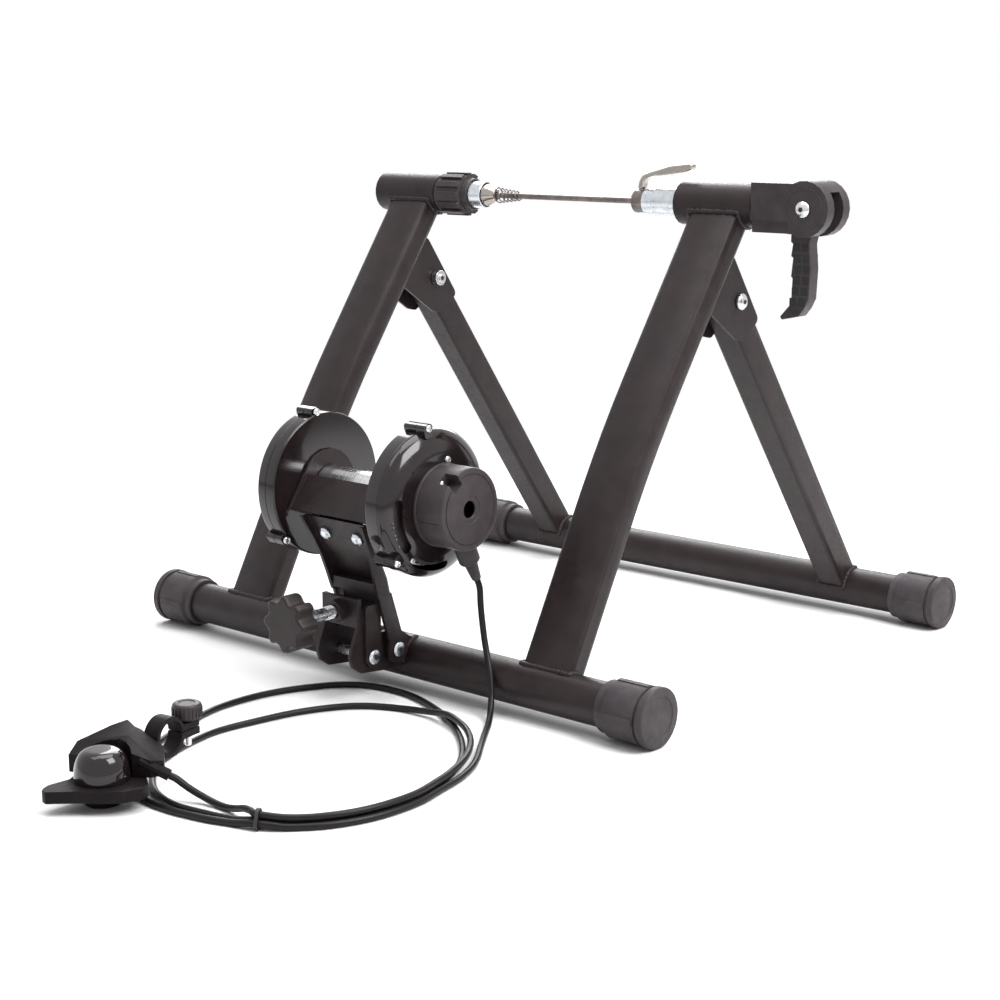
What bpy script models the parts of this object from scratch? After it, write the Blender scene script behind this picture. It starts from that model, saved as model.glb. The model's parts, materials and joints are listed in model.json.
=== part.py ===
"""Magnetic bike trainer that holds a rear wheel by its axle over a braked roller.

Metres, +Z up. The parts are drawn in the trainer's own coordinates: X runs across it, Y runs
rearward from the axis of the front floor tube, and Z runs up from that axis. One empty then
sets the whole trainer down on the floor, centred over the world's origin.
"""

import math

import bmesh
import bpy
from mathutils import Matrix, Vector
from mathutils.geometry import convex_hull_2d

# Facets of round pieces
SIDES = 20
DRUM_SIDES = 24
BOLT_SIDES = 8

# Clearances
GAP = 0.0003  # between pieces that touch
SLIDE = 0.0003  # radial, where one round piece slides or turns in another
HOLE_SLACK = 0.0003  # radial, round a bolt

# Floor tubes and their rubber end caps
TUBE_RADIUS = 0.0175
TUBE_WALL = 0.002
HALF_WIDTH = 0.2741  # from the middle to the end of a cap
TUBE_SPACING = 0.430  # between the axes of the two floor tubes
CAP_RADIUS = 0.0234  # to the flats that stand on the floor
CAP_LENGTH = 0.046
CAP_END = 0.005  # thickness of the closed end
CAP_SIDES = 24
CAP_MOUTH_WALL = 0.0025
CAP_FLARE = 0.008
CAP_GROOVE_DEPTH = 0.0012
CAP_GROOVE_WIDTH = 0.003
CAP_RIM = 0.006  # from the groove to the end face
CAP_EDGE = 0.0016

# Legs
LEG_X = 0.168  # middle of each pair of legs
MAIN_LEG_WIDTH = 0.047
MAIN_LEG_DEPTH = 0.0212
MAIN_LEG_WALL = 0.002
MAIN_LEG_CORNER = 0.005
KNEE_Y = 0.093
KNEE_Z = 0.171
KNEE_RUN = 0.060  # from the knee to where the bend ends
AXLE_Y = 0.2237
AXLE_Z = 0.357
REAR_LEG_SIZE = 0.026
REAR_LEG_WALL = 0.0015
REAR_LEG_CORNER = 0.003

# Hinges between the main and the rear legs
FOLD_Y = 0.224
FOLD_Z = 0.2795
BRACKET_PLATE = 0.0025
BRACKET_INNER = 0.029  # width inside the channel
BRACKET_UP = 0.026  # along the leg, above the bolt
BRACKET_DOWN = 0.029
BRACKET_REACH = 0.031  # of the cheeks' rear edge, below the bolt along the rear leg
BRACKET_TOE_DOWN = 0.030
BRACKET_TOE_FRONT = 0.0147
BRACKET_HEEL_DOWN = 0.0224
BRACKET_HEEL_FRONT = 0.0215
BRACKET_CORNER = 0.005
HINGE_BOLT_RADIUS = 0.004
HINGE_HEAD_RADIUS = 0.0075
HINGE_HEAD_HEIGHT = 0.0045
HINGE_NUT_RADIUS = 0.0075
HINGE_NUT_HEIGHT = 0.0065

# Cross tubes at the wheel's axle
AXLE_TUBE_LEFT_OUT = 0.2102
AXLE_TUBE_LEFT_IN = 0.138
AXLE_TUBE_RIGHT_OUT = 0.203
AXLE_TUBE_RIGHT_IN = 0.1282
GUIDE_LENGTH = 0.0118  # ring in the right tube that guides the spindle
BUSH_LENGTH = 0.0217

# Fixed cone on the left and its lock ring
CONE_RADIUS = 0.012
CONE_OUT = 0.185
CONE_IN = 0.087
CUP_RADIUS = 0.0106  # mouth of the cup that takes the wheel's skewer nut
CUP_FLOOR_RADIUS = 0.008
CUP_DEPTH = 0.008
LOCK_SEAT_RADIUS = 0.018
LOCK_SEAT_LENGTH = 0.003
LOCK_RADIUS = 0.0195
LOCK_FLUTE = 0.0012
LOCK_FLUTES = 12
LOCK_SIDES = 3 * LOCK_FLUTES
LOCK_LENGTH = 0.0297
LOCK_LIP_RADIUS = 0.014
LOCK_LIP_LENGTH = 0.007

# Quick-release skewer that comes with the trainer
SKEWER_RADIUS = 0.0025
SKEWER_NUT_RADIUS = 0.0100
SKEWER_NUT_LENGTH = 0.019
SKEWER_NUT_IN = 0.076
SKEWER_HEAD_RADIUS = 0.0098
SKEWER_HEAD_IN = 0.079
SKEWER_CAM_X = 0.085
SKEWER_CAM_RADIUS = 0.003
SKEWER_LEVER_THICK = 0.004
SKEWER_LEVER_WIDTH = 0.009
SPRING_WIRE = 0.0006  # radius
SPRING_BIG = 0.0070
SPRING_SMALL = 0.0038
SPRING_LENGTH = 0.026
SPRING_CURLS = 6

# Sliding spindle, its cam lever and housing on the right
SPINDLE_RADIUS = 0.012
SPINDLE_NOSE = 0.011
SPINDLE_NOSE_LENGTH = 0.010
SPINDLE_IN = 0.0915
SPINDLE_CUP_DEPTH = 0.0085
COLLAR_X = 0.185
COLLAR_WIDTH = 0.003
COLLAR_RADIUS = 0.015
CAM_X = 0.252
CAM_DROP = 0.0005  # of the cam's centre below the spindle's axis
CAM_TURN = math.radians(110)
CAM_RADIUS = 0.015
CAM_BOSS = 0.007
LEVER_HALF = 0.0062
HOUSING_HALF = 0.0165
HOUSING_BOX_HALF = 0.0195
HOUSING_NOSE = 0.022
HOUSING_RECESS = 0.003
HOUSING_SPIGOT = 0.006
HOUSING_SLOT_BACK = 0.0185
HOUSING_SLOT_TOP = 0.013
HOUSING_SLOT_SLACK = 0.0004
CAM_BOLT_RADIUS = 0.0035
CAM_HEAD_RADIUS = 0.007
CAM_HEAD_HEIGHT = 0.004

# Roller, brake and flywheel, measured from the middle of the unit
UNIT_X = 0.0132
ROLLER_Y = -0.0312
ROLLER_Z = 0.1388
ROLLER_RADIUS = 0.016
ROLLER_HALF = 0.0465
SHAFT_RADIUS = 0.006
CRADLE_SHEET = 0.0026
CRADLE_EAR_RADIUS = 0.029
CRADLE_GAP = 0.0005  # from the roller's end to the ear
EAR_LIP = 0.0008  # by which the ears' edge stands past the sheet
BOSS_RADIUS = 0.017
BOSS_LENGTH = 0.0074
BEARING_RADIUS = 0.014
BEARING_WIDTH = 0.0065
SHAFT_CLEARANCE = 0.002  # in the ears' holes
HOUSING_RADIUS = 0.058
HOUSING_WALL = 0.002
HOUSING_EDGE = 0.0016
SHOULDER = [  # of the magnet drum's outer half: depth below its face, distance in from its rim
    (0.0, 0.020), (0.0005, 0.015), (0.0018, 0.010), (0.0040, 0.0055), (0.0070, 0.0020), (0.0105, 0.0)]
SHOULDER_INSIDE = [
    (0.0109, 0.0020), (0.0084, 0.0038), (0.0057, 0.0070), (0.0037, 0.0111), (0.0025, 0.0158), (0.0020, 0.0204)]
POST_RISE = 0.0055  # of the screw posts above the drums
POST_WIDTH = 0.0090
POST_INSET = 0.0008  # from the drum's face
POST_INSET_DOMED = 0.0035
POST_ROOT_DOMED = 0.003  # below the domed half's wall
POST_ANGLES = (100, 220, 340)
DISC_START = 0.0499  # inner face of both drums
FLYWHEEL_DRUM = 0.0188
MAGNET_DRUM = 0.0256
INNER_SHARE_LEFT = 0.0096  # depth of the inner half shells
INNER_SHARE_RIGHT = 0.0129
FLYWHEEL_CLEARANCE = 0.004  # inside the drum's wall
FLYWHEEL_RADIUS = HOUSING_RADIUS - HOUSING_WALL - FLYWHEEL_CLEARANCE
FLYWHEEL_START = 0.053
FLYWHEEL_END = 0.0662
FLYWHEEL_HUB_START = 0.0575
FLYWHEEL_RECESS = 0.019  # radius, round the cradle's boss
BRAKE_CLEARANCE = 0.006
BRAKE_RADIUS = HOUSING_RADIUS - HOUSING_WALL - BRAKE_CLEARANCE
BRAKE_START = 0.058
BRAKE_THICK = 0.003
BRAKE_HUB_RADIUS = 0.012
BRAKE_HUB_END = 0.0639
MAGNET_PLATE_INSET = 0.002  # inside the brake disc's rim
MAGNET_PLATE_RADIUS = BRAKE_RADIUS - MAGNET_PLATE_INSET
MAGNET_PLATE_START = 0.0647
MAGNET_PLATE_THICK = 0.0045
MAGNET_HEIGHT = 0.0018
MAGNET_COUNT = 6
MAGNET_INNER = 0.030
MAGNET_INSET = 0.003  # inside the plate's rim
MAGNET_OUTER = MAGNET_PLATE_RADIUS - MAGNET_INSET
STEM_RADIUS = 0.010
DRUM_RADIUS = 0.020
DRUM_START = 0.082
DRUM_WIDTH = 0.006
HUB_COVER_RADIUS = 0.0325
HUB_COVER_WALL = 0.002
HUB_COVER_LENGTH = 0.029
HUB_COVER_HOLE = 0.0065

# Boot where the cable leaves the hub cover
BOOT_X = 0.105
BOOT_TOP_Y = -0.0244
BOOT_TOP_Z = 0.1086
BOOT_END_Y = -0.0096
BOOT_END_Z = 0.0792
BOOT_COLLAR = 0.0085
BOOT_COLLAR_LENGTH = 0.016
BOOT_TIP = 0.0037

# Arm that carries the cradle, and the sheet metal round it
ARM_SHEET = 0.003
ARM_BEND = 0.004
FLANGE_INNER = 0.0231  # lower flanges
FLANGE_LOBE = 0.011
STRIP_HALF = 0.0252
TAB_HALF = 0.0195
MOUNT_HALF = 0.022
CRADLE_BOLT_X = 0.0173
CRADLE_BOLT_Z = 0.109
CRADLE_BOLT_RADIUS = 0.003
CRADLE_HEAD_RADIUS = 0.0055
CRADLE_HEAD_HEIGHT = 0.004

# Clevis on the front tube, with its two pivots
ARM_PIVOT_Y = -0.0293
ARM_PIVOT_Z = 0.0143
LINK_PIVOT_Y = -0.0535
LINK_PIVOT_Z = 0.0125
PIVOT_RADIUS = 0.004
PIVOT_HEAD = 0.0065
PIVOT_HEAD_HEIGHT = 0.0024
PIVOT_NUT_HEIGHT = 0.0045
CLEVIS_INNER = 0.0165
CLEVIS_SHEET = 0.003
CLEVIS_FRONT_Y = -0.068
CLEVIS_TOP_Z = 0.061
LINK_INNER = 0.0200
LINK_SHEET = 0.0026
LINK_END_RADIUS = 0.0085
LINK_WEB_Y = -0.0485
LINK_WEB_SHEET = 0.003
LINK_WEB_LOW_Z = 0.036
LINK_WEB_HIGH_Z = 0.054
LINK_TOP_Z = 0.055
LINK_PLAY = 0.001  # where the screw pushes the link, and the link the arm

# Tension screw and its knob
SCREW_RADIUS = 0.005
SCREW_Z = 0.050
SCREW_END_Y = -0.1187
SCREW_THREAD_SLACK = 0.0003
SCREW_NUT_RADIUS = 0.0095
SCREW_NUT_HEIGHT = 0.007
KNOB_RADIUS = 0.0205
KNOB_LOBE = 0.003
KNOB_LOBES = 8
KNOB_SIDES = 4 * KNOB_LOBES
KNOB_FRONT_Y = -0.129
KNOB_BACK_Y = -0.107

# Shifter that lies on the floor, drawn in its own coordinates: X along it, Y away, Z above the floor
SHIFTER_X = 0.070
SHIFTER_Y = -0.347
SHIFTER_TURN = math.radians(41.4)
THUMB_PIVOT = (-0.003, 0.020)
THUMB_LOW = 0.009
THUMB_HIGH = 0.0175
THUMB_HUB = 0.022
THUMB_FOOT_RADIUS = 0.012
THUMB_BOSS_RADIUS = 0.017
THUMB_BORE = 0.0043
DOME_RADIUS = 0.0192
DOME_HEIGHT = 0.0208
DOME_PIN_END = 0.003
BARREL_RADIUS = 0.0040
BARREL_START = (0.022, 0.024, 0.029)
BARREL_END = (0.042, 0.022, 0.019)
CLAMP_CENTRE = (0.033, 0.060, 0.034)
CLAMP_AXIS = (0.85, -0.53, 0.0)
CLAMP_BORE = 0.0112
CLAMP_RADIUS = 0.0145
CLAMP_WIDTH = 0.013
CLAMP_SPLIT = 0.0003  # from the ring's middle plane to each half
LUG_END = 0.030
LUG_THICK = 0.005
CLAMP_HINGE = 0.0150  # from the bore's axis to the strap's hinge
STRAP_TURN = 0.085  # radians that the strap opens when its screw is let out
STRAP_HOLE_SLACK = 0.0010
THUMB_SCREW_AT = 0.0245
THUMB_SCREW_RADIUS = 0.0025
THUMB_SCREW_END = -0.014
THUMB_CAP_HEIGHT = 0.012
THUMB_CAP_RADIUS = 0.011

# Cable from the boot to the shifter
CABLE_RADIUS = 0.0025
CABLE_LIE = CABLE_RADIUS + 0.0001 - CAP_RADIUS  # height of its axis where it lies on the floor
TIE_THICK = 0.0010
TIE_WIDTH = 0.0025
TIE_SLACK = 0.0010  # round the strands
TIE_AT = (0.1680, -0.2960)
TIE_SIDE = (0.489, -0.873)  # across the strands
TIE_SPREAD = 0.0031  # of the two lower strands from the middle
TIE_STEP = 0.0052  # of the upper strand above them
CABLE_MEET = (0.1850, -0.0990)
CABLE_MEET_RUN = (0.567, -0.825)

ORIGIN = Vector((0, 0, 0))
UP = Vector((0, 0, 1))
REARWARD = Vector((0, 1, 0))
ACROSS = Vector((1, 0, 0))
PLANES = {
    "X": lambda a, b, depth: Vector((depth, a, b)),
    "Y": lambda a, b, depth: Vector((a, depth, b)),
    "Z": lambda a, b, depth: Vector((a, b, depth)),
}


def clear_scene():
    for obj in list(bpy.data.objects):
        bpy.data.objects.remove(obj)


def material(name, colour, roughness, metallic):
    made = bpy.data.materials.new(name)
    made.use_nodes = True
    shader = made.node_tree.nodes["Principled BSDF"]
    shader.inputs["Base Color"].default_value = (*colour, 1)
    shader.inputs["Roughness"].default_value = roughness
    shader.inputs["Metallic"].default_value = metallic
    made.diffuse_color = (*colour, 1)
    return made


def skin(rings, closed=False):
    """Faces between rings of points; a ring of one point is a tip, and closed joins last to first."""
    shape = bmesh.new()
    rows = [[shape.verts.new(point) for point in ring] for ring in rings]
    pairs = list(zip(rows, rows[1:]))
    if closed:
        pairs.append((rows[-1], rows[0]))
    for low, high in pairs:
        count = max(len(low), len(high))
        for i in range(count):
            j = (i + 1) % count
            corners = [low[i % len(low)], low[j % len(low)], high[j % len(high)], high[i % len(high)]]
            shape.faces.new(list(dict.fromkeys(corners)))
    if not closed:
        for row in (rows[0], rows[-1]):
            if len(row) > 2:
                shape.faces.new(row)
    bmesh.ops.recalc_face_normals(shape, faces=shape.faces)
    return shape


def basis(axis):
    """The axis and two directions across it, the last one as near to up as it can be."""
    along = Vector(axis).normalized()
    high = UP if abs(along.z) < 0.9 else REARWARD
    across = high.cross(along).normalized()
    return along, across, along.cross(across)


def turned(profile, centre, axis, sides=SIDES, bored=False, outside=False):
    """Solid of revolution from (along, radius) pairs; a radius may be a function of the angle.

    A bored profile comes back along its bore. An outside one has its flats, not its corners, at
    the radius.
    """
    along, across, high = basis(axis)
    reach = 1 / math.cos(math.pi / sides) if outside else 1
    rings = []
    for step, radius in profile:
        middle = Vector(centre) + along * step
        ring = []
        for k in range(sides):
            angle = (k + 0.5) * 2 * math.pi / sides
            size = (radius(angle) if callable(radius) else radius) * reach
            ring.append(middle + (across * math.cos(angle) + high * math.sin(angle)) * size)
        rings.append([middle] if radius == 0 else ring)
    return skin(rings, closed=bored)


def round_bore(radius, sides=SIDES):
    """Radius of the corners of a bore whose flats lie at the given radius."""
    return radius / math.cos(math.pi / sides)


def tube(low, high, radius, bore, centre, axis):
    profile = [(low, radius), (high, radius), (high, round_bore(bore)), (low, round_bore(bore))]
    return turned(profile, centre, axis, bored=True)


def rod(low, high, radius, centre, axis, sides=SIDES, outside=False):
    return turned([(low, 0), (low, radius), (high, radius), (high, 0)], centre, axis, sides, outside=outside)


def prism(outline, plane, low, high):
    """The outline stretched along X, Y or Z, or along the depth of a placing function."""
    place = PLANES.get(plane, plane)
    return skin([[place(a, b, depth) for a, b in outline] for depth in (low, high)])


def rectangle(low_a, high_a, low_b, high_b):
    return [(low_a, low_b), (high_a, low_b), (high_a, high_b), (low_a, high_b)]


def rounded(outline, radius, steps=4):
    """The outline with each corner turned into an arc, as far as its sides allow."""
    points = [Vector(point) for point in outline]
    radii = radius if isinstance(radius, (list, tuple)) else [radius] * len(points)
    result = []
    for i, corner in enumerate(points):
        back = points[i - 1] - corner
        ahead = points[(i + 1) % len(points)] - corner
        half = back.angle(ahead) / 2
        run = min(radii[i] / math.tan(half), 0.49 * back.length, 0.49 * ahead.length)
        if run < 1e-5:
            result.append(corner)
            continue
        size = run * math.tan(half)
        middle = corner + (back.normalized() + ahead.normalized()).normalized() * size / math.sin(half)
        first = corner + back.normalized() * run - middle
        last = corner + ahead.normalized() * run - middle
        start = math.atan2(first.y, first.x)
        sweep = (math.atan2(last.y, last.x) - start + math.pi) % (2 * math.pi) - math.pi
        for k in range(steps + 1):
            angle = start + sweep * k / steps
            result.append(middle + Vector((math.cos(angle), math.sin(angle))) * size)
    return result


def arc(centre, radius, start, end, steps):
    """Points from one angle to another, in degrees."""
    points = []
    for k in range(steps + 1):
        angle = math.radians(start + (end - start) * k / steps)
        points.append((centre[0] + radius * math.cos(angle), centre[1] + radius * math.sin(angle)))
    return points


def hull(points):
    """The outline stretched round the points."""
    flat = [Vector(point) for point in points]
    return [flat[i] for i in convex_hull_2d(flat)]


def add(name, shape, finish, pivot=ORIGIN):
    """An object from a shape drawn in the trainer's coordinates, with its origin at the pivot."""
    mesh = bpy.data.meshes.new(name)
    bmesh.ops.translate(shape, verts=shape.verts, vec=-Vector(pivot))
    shape.to_mesh(mesh)
    shape.free()
    mesh.shade_smooth()
    mesh.set_sharp_from_angle(angle=math.radians(32))
    obj = bpy.data.objects.new(name, mesh)
    obj.location = pivot
    obj.parent = bpy.data.objects["trainer"]
    if finish:
        mesh.materials.append(finish)
    bpy.context.scene.collection.objects.link(obj)
    return obj


def combine(obj, shape, operation):
    count = len(obj.modifiers)
    helper = add(f"{obj.name}_{operation.lower()}_{count}", shape, None, obj.location)
    helper.hide_render = True
    helper.display_type = "WIRE"
    modifier = obj.modifiers.new(f"{operation.lower()}_{count}", "BOOLEAN")
    modifier.operation = operation
    modifier.object = helper
    modifier.solver = "EXACT"


def cut(obj, *shapes):
    for shape in shapes:
        combine(obj, shape, "DIFFERENCE")


def join(obj, *shapes):
    for shape in shapes:
        combine(obj, shape, "UNION")


def in_side_plane(point):
    return (point.y, point.z)


KNEE = Vector((0, KNEE_Y, KNEE_Z))
AXLE = Vector((0, AXLE_Y, AXLE_Z))
REAR_TUBE = Vector((0, TUBE_SPACING, 0))
FOLD = Vector((0, FOLD_Y, FOLD_Z))
LEG_UP = (AXLE - KNEE).normalized()
LEG_FRONT = Vector((0, -LEG_UP.z, LEG_UP.y))
REAR_UP = (FOLD - REAR_TUBE).normalized()
REAR_BACK = Vector((0, REAR_UP.z, -REAR_UP.y))
PLATE_DISTANCE = (AXLE - FOLD).dot(LEG_FRONT) - MAIN_LEG_DEPTH / 2 - GAP  # from hinge bolt to plate


def bolt(name, centre, axis, low, high, radius, head, head_height, nut, nut_height, steel, pivot=ORIGIN):
    """A domed bolt through faces at low and high along its axis, with its nut outside the low one."""
    start = low - GAP - nut_height - 0.4 * radius
    under = high + GAP
    profile = [
        (start, 0),
        (start, radius),
        (under, radius),
        (under, head),
        (under + 0.45 * head_height, head),
        (under + 0.85 * head_height, 0.72 * head),
        (under + head_height, 0.35 * head),
        (under + head_height, 0),
    ]
    obj = add(name, turned(profile, centre, axis, BOLT_SIDES), steel, pivot)
    join(obj, rod(low - GAP - nut_height, low - GAP, nut, centre, axis, sides=6))
    return obj


def floor_tubes(paint):
    half = HALF_WIDTH - CAP_END - GAP
    bore = TUBE_RADIUS - TUBE_WALL
    add("front_floor_tube", tube(-half, half, TUBE_RADIUS, bore, ORIGIN, ACROSS), paint)
    add("rear_floor_tube", tube(-half, half, TUBE_RADIUS, bore, REAR_TUBE, ACROSS), paint, FOLD)


def foot_caps(rubber):
    mouth = TUBE_RADIUS + GAP
    groove = CAP_LENGTH - CAP_RIM
    profile = [
        (CAP_LENGTH - CAP_END, 0),
        (CAP_LENGTH - CAP_END, mouth),
        (0, mouth),
        (0, mouth + CAP_MOUTH_WALL),
        (CAP_FLARE, CAP_RADIUS),
        (groove - CAP_GROOVE_WIDTH, CAP_RADIUS),
        (groove - CAP_GROOVE_WIDTH, CAP_RADIUS - CAP_GROOVE_DEPTH),
        (groove, CAP_RADIUS - CAP_GROOVE_DEPTH),
        (groove, CAP_RADIUS),
        (CAP_LENGTH - CAP_EDGE, CAP_RADIUS),
        (CAP_LENGTH, CAP_RADIUS - CAP_EDGE),
        (CAP_LENGTH, 0),
    ]
    for end, middle, pivot in (("front", ORIGIN, ORIGIN), ("rear", REAR_TUBE, FOLD)):
        for hand, side in (("left", -1), ("right", 1)):
            mouth_at = middle + ACROSS * side * (HALF_WIDTH - CAP_LENGTH)
            cap = turned(profile, mouth_at, ACROSS * side, CAP_SIDES, outside=True)
            add(f"foot_cap_{end}_{hand}", cap, rubber, pivot)


def box_section(width, depth, corner):
    return rounded(rectangle(-width / 2, width / 2, -depth / 2, depth / 2), corner, 2)


def main_legs(paint):
    foot_up = KNEE.normalized()
    start = KNEE - foot_up * KNEE_RUN
    finish = KNEE + LEG_UP * KNEE_RUN
    path = [(ORIGIN, foot_up)]
    for k in range(6):
        t = k / 5
        point = start * (1 - t) ** 2 + KNEE * 2 * t * (1 - t) + finish * t ** 2
        path.append((point, (foot_up * (1 - t) + LEG_UP * t).normalized()))
    path.append((AXLE, LEG_UP))
    outer = box_section(MAIN_LEG_WIDTH, MAIN_LEG_DEPTH, MAIN_LEG_CORNER)
    thin = 2 * MAIN_LEG_WALL
    inner = box_section(MAIN_LEG_WIDTH - thin, MAIN_LEG_DEPTH - thin, MAIN_LEG_CORNER - MAIN_LEG_WALL)
    for hand, side in (("left", -1), ("right", 1)):
        x = side * LEG_X
        rings = []
        for section, stations in ((outer, path), (inner, path[::-1])):
            for point, along in stations:
                front = Vector((0, -along.z, along.y))
                rings.append([point + ACROSS * (x + a) + front * b for a, b in section])
        leg = add(f"main_leg_{hand}", skin(rings, closed=True), paint)
        for middle in (ORIGIN, AXLE):
            centre = middle + ACROSS * x
            cut(leg, rod(-MAIN_LEG_WIDTH, MAIN_LEG_WIDTH, TUBE_RADIUS + GAP, centre, ACROSS, SIDES, True))


def rear_legs(paint):
    outer = box_section(REAR_LEG_SIZE, REAR_LEG_SIZE, REAR_LEG_CORNER)
    thin = REAR_LEG_SIZE - 2 * REAR_LEG_WALL
    inner = box_section(thin, thin, REAR_LEG_CORNER - REAR_LEG_WALL)
    stop = PLATE_DISTANCE - BRACKET_PLATE - GAP
    for hand, side in (("left", -1), ("right", 1)):
        x = side * LEG_X
        foot = [[REAR_TUBE + ACROSS * (x + a) + REAR_BACK * b for a, b in s] for s in (outer, inner)]
        top = []
        for section in (outer, inner):
            ring = []
            for a, b in section:
                reach = (stop - b * REAR_BACK.dot(LEG_FRONT)) / REAR_UP.dot(LEG_FRONT)
                ring.append(FOLD + ACROSS * (x + a) + REAR_BACK * b + REAR_UP * reach)
            top.append(ring)
        rings = [foot[0], top[0], top[1], foot[1]]
        leg = add(f"rear_leg_{hand}", skin(rings, closed=True), paint, FOLD)
        width = REAR_LEG_SIZE
        cut(leg, rod(-width, width, TUBE_RADIUS + GAP, REAR_TUBE + ACROSS * x, ACROSS, SIDES, True))
        cut(leg, rod(-width, width, HINGE_BOLT_RADIUS + HOLE_SLACK, FOLD + ACROSS * x, ACROSS, BOLT_SIDES, True))


def hinge_brackets(paint, steel):
    face = FOLD + LEG_FRONT * PLATE_DISTANCE
    corners = [
        face + LEG_UP * BRACKET_UP,
        face - LEG_UP * BRACKET_DOWN,
        FOLD - REAR_UP * BRACKET_HEEL_DOWN - REAR_BACK * BRACKET_HEEL_FRONT,
        FOLD - REAR_UP * BRACKET_TOE_DOWN - REAR_BACK * BRACKET_TOE_FRONT,
        FOLD - REAR_UP * BRACKET_REACH + REAR_BACK * REAR_LEG_SIZE / 2,
    ]
    outline = rounded([in_side_plane(corner) for corner in corners], BRACKET_CORNER, 4)
    behind = face - LEG_FRONT * BRACKET_PLATE
    far = BRACKET_REACH * 4
    slot = [
        behind - LEG_UP * far,
        behind + LEG_UP * far,
        behind + LEG_UP * far - LEG_FRONT * far,
        behind - LEG_UP * far - LEG_FRONT * far,
    ]
    half = BRACKET_INNER / 2 + BRACKET_PLATE
    hole = HINGE_BOLT_RADIUS + HOLE_SLACK
    for hand, side in (("left", -1), ("right", 1)):
        x = side * LEG_X
        bracket = add(f"hinge_bracket_{hand}", prism(outline, "X", x - half, x + half), paint)
        slot_outline = [in_side_plane(corner) for corner in slot]
        cut(bracket, prism(slot_outline, "X", x - BRACKET_INNER / 2, x + BRACKET_INNER / 2))
        cut(bracket, rod(-2 * half, 2 * half, hole, FOLD + ACROSS * x, ACROSS, BOLT_SIDES, True))
        bolt(f"hinge_bolt_{hand}", FOLD + ACROSS * x, ACROSS * side, -half, half, HINGE_BOLT_RADIUS,
             HINGE_HEAD_RADIUS, HINGE_HEAD_HEIGHT, HINGE_NUT_RADIUS, HINGE_NUT_HEIGHT, steel)


def axle_tubes(paint):
    bore = TUBE_RADIUS - TUBE_WALL
    add("axle_tube_left", tube(-AXLE_TUBE_LEFT_OUT, -AXLE_TUBE_LEFT_IN, TUBE_RADIUS, bore, AXLE, ACROSS), paint)
    guide = round_bore(SPINDLE_RADIUS + SLIDE)
    inner = round_bore(bore)
    profile = [
        (AXLE_TUBE_RIGHT_IN, TUBE_RADIUS),
        (AXLE_TUBE_RIGHT_OUT, TUBE_RADIUS),
        (AXLE_TUBE_RIGHT_OUT, inner),
        (AXLE_TUBE_RIGHT_IN + GUIDE_LENGTH, inner),
        (AXLE_TUBE_RIGHT_IN + GUIDE_LENGTH, guide),
        (AXLE_TUBE_RIGHT_IN, guide),
    ]
    add("axle_tube_right", turned(profile, AXLE, ACROSS, bored=True), paint)


def fixed_cone(zinc, steel, satin):
    """Cone with the left cup, the threaded bush that holds it and the lock ring."""
    bore = CONE_RADIUS + SLIDE
    bush_in = -AXLE_TUBE_LEFT_IN - GAP
    bush_radius = TUBE_RADIUS - TUBE_WALL - GAP
    add("cone_thread_bush", tube(bush_in - BUSH_LENGTH, bush_in, bush_radius, bore, AXLE, ACROSS), steel)
    hole = round_bore(bore, LOCK_SIDES)
    flute_start = LOCK_SEAT_LENGTH + 0.0015
    flute_end = 0.6 * LOCK_LENGTH

    def fluted(angle):
        return LOCK_RADIUS - LOCK_FLUTE * (0.5 - 0.5 * math.cos(LOCK_FLUTES * angle))

    profile = [
        (0, LOCK_SEAT_RADIUS),
        (LOCK_SEAT_LENGTH, LOCK_SEAT_RADIUS),
        (LOCK_SEAT_LENGTH, LOCK_RADIUS),
        (flute_start, LOCK_RADIUS),
        (flute_start, fluted),
        (flute_end, fluted),
        (flute_end, LOCK_RADIUS),
        (LOCK_LENGTH, LOCK_RADIUS),
        (LOCK_LENGTH, LOCK_LIP_RADIUS),
        (LOCK_LENGTH + LOCK_LIP_LENGTH, LOCK_LIP_RADIUS),
        (LOCK_LENGTH + LOCK_LIP_LENGTH, hole),
        (0, hole),
    ]
    ring_at = AXLE - ACROSS * (AXLE_TUBE_LEFT_IN - GAP)
    add("lock_ring", turned(profile, ring_at, ACROSS, LOCK_SIDES, bored=True), satin, AXLE)
    mouth = CONE_OUT - CONE_IN
    profile = [
        (0, 0),
        (0, CONE_RADIUS - 0.0008),
        (0.0008, CONE_RADIUS),
        (mouth - 0.0006, CONE_RADIUS),
        (mouth, CONE_RADIUS - 0.0006),
        (mouth, round_bore(CUP_RADIUS)),
        (mouth - CUP_DEPTH, round_bore(CUP_FLOOR_RADIUS)),
        (mouth - CUP_DEPTH, 0),
    ]
    add("axle_cone", turned(profile, AXLE - ACROSS * CONE_OUT, ACROSS), zinc, AXLE)


def wire(name, points, radius, resolution, finish, pivot=ORIGIN):
    """A round bar or cord through the points."""
    curve = bpy.data.curves.new(name, "CURVE")
    curve.dimensions = "3D"
    curve.bevel_depth = radius
    curve.bevel_resolution = resolution
    curve.use_fill_caps = True
    spline = curve.splines.new("POLY")
    spline.points.add(len(points) - 1)
    for spot, point in zip(spline.points, points):
        spot.co = (*(Vector(point) - Vector(pivot)), 1)
    obj = bpy.data.objects.new(name, curve)
    obj.location = pivot
    obj.parent = bpy.data.objects["trainer"]
    curve.materials.append(finish)
    bpy.context.scene.collection.objects.link(obj)
    return obj


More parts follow.
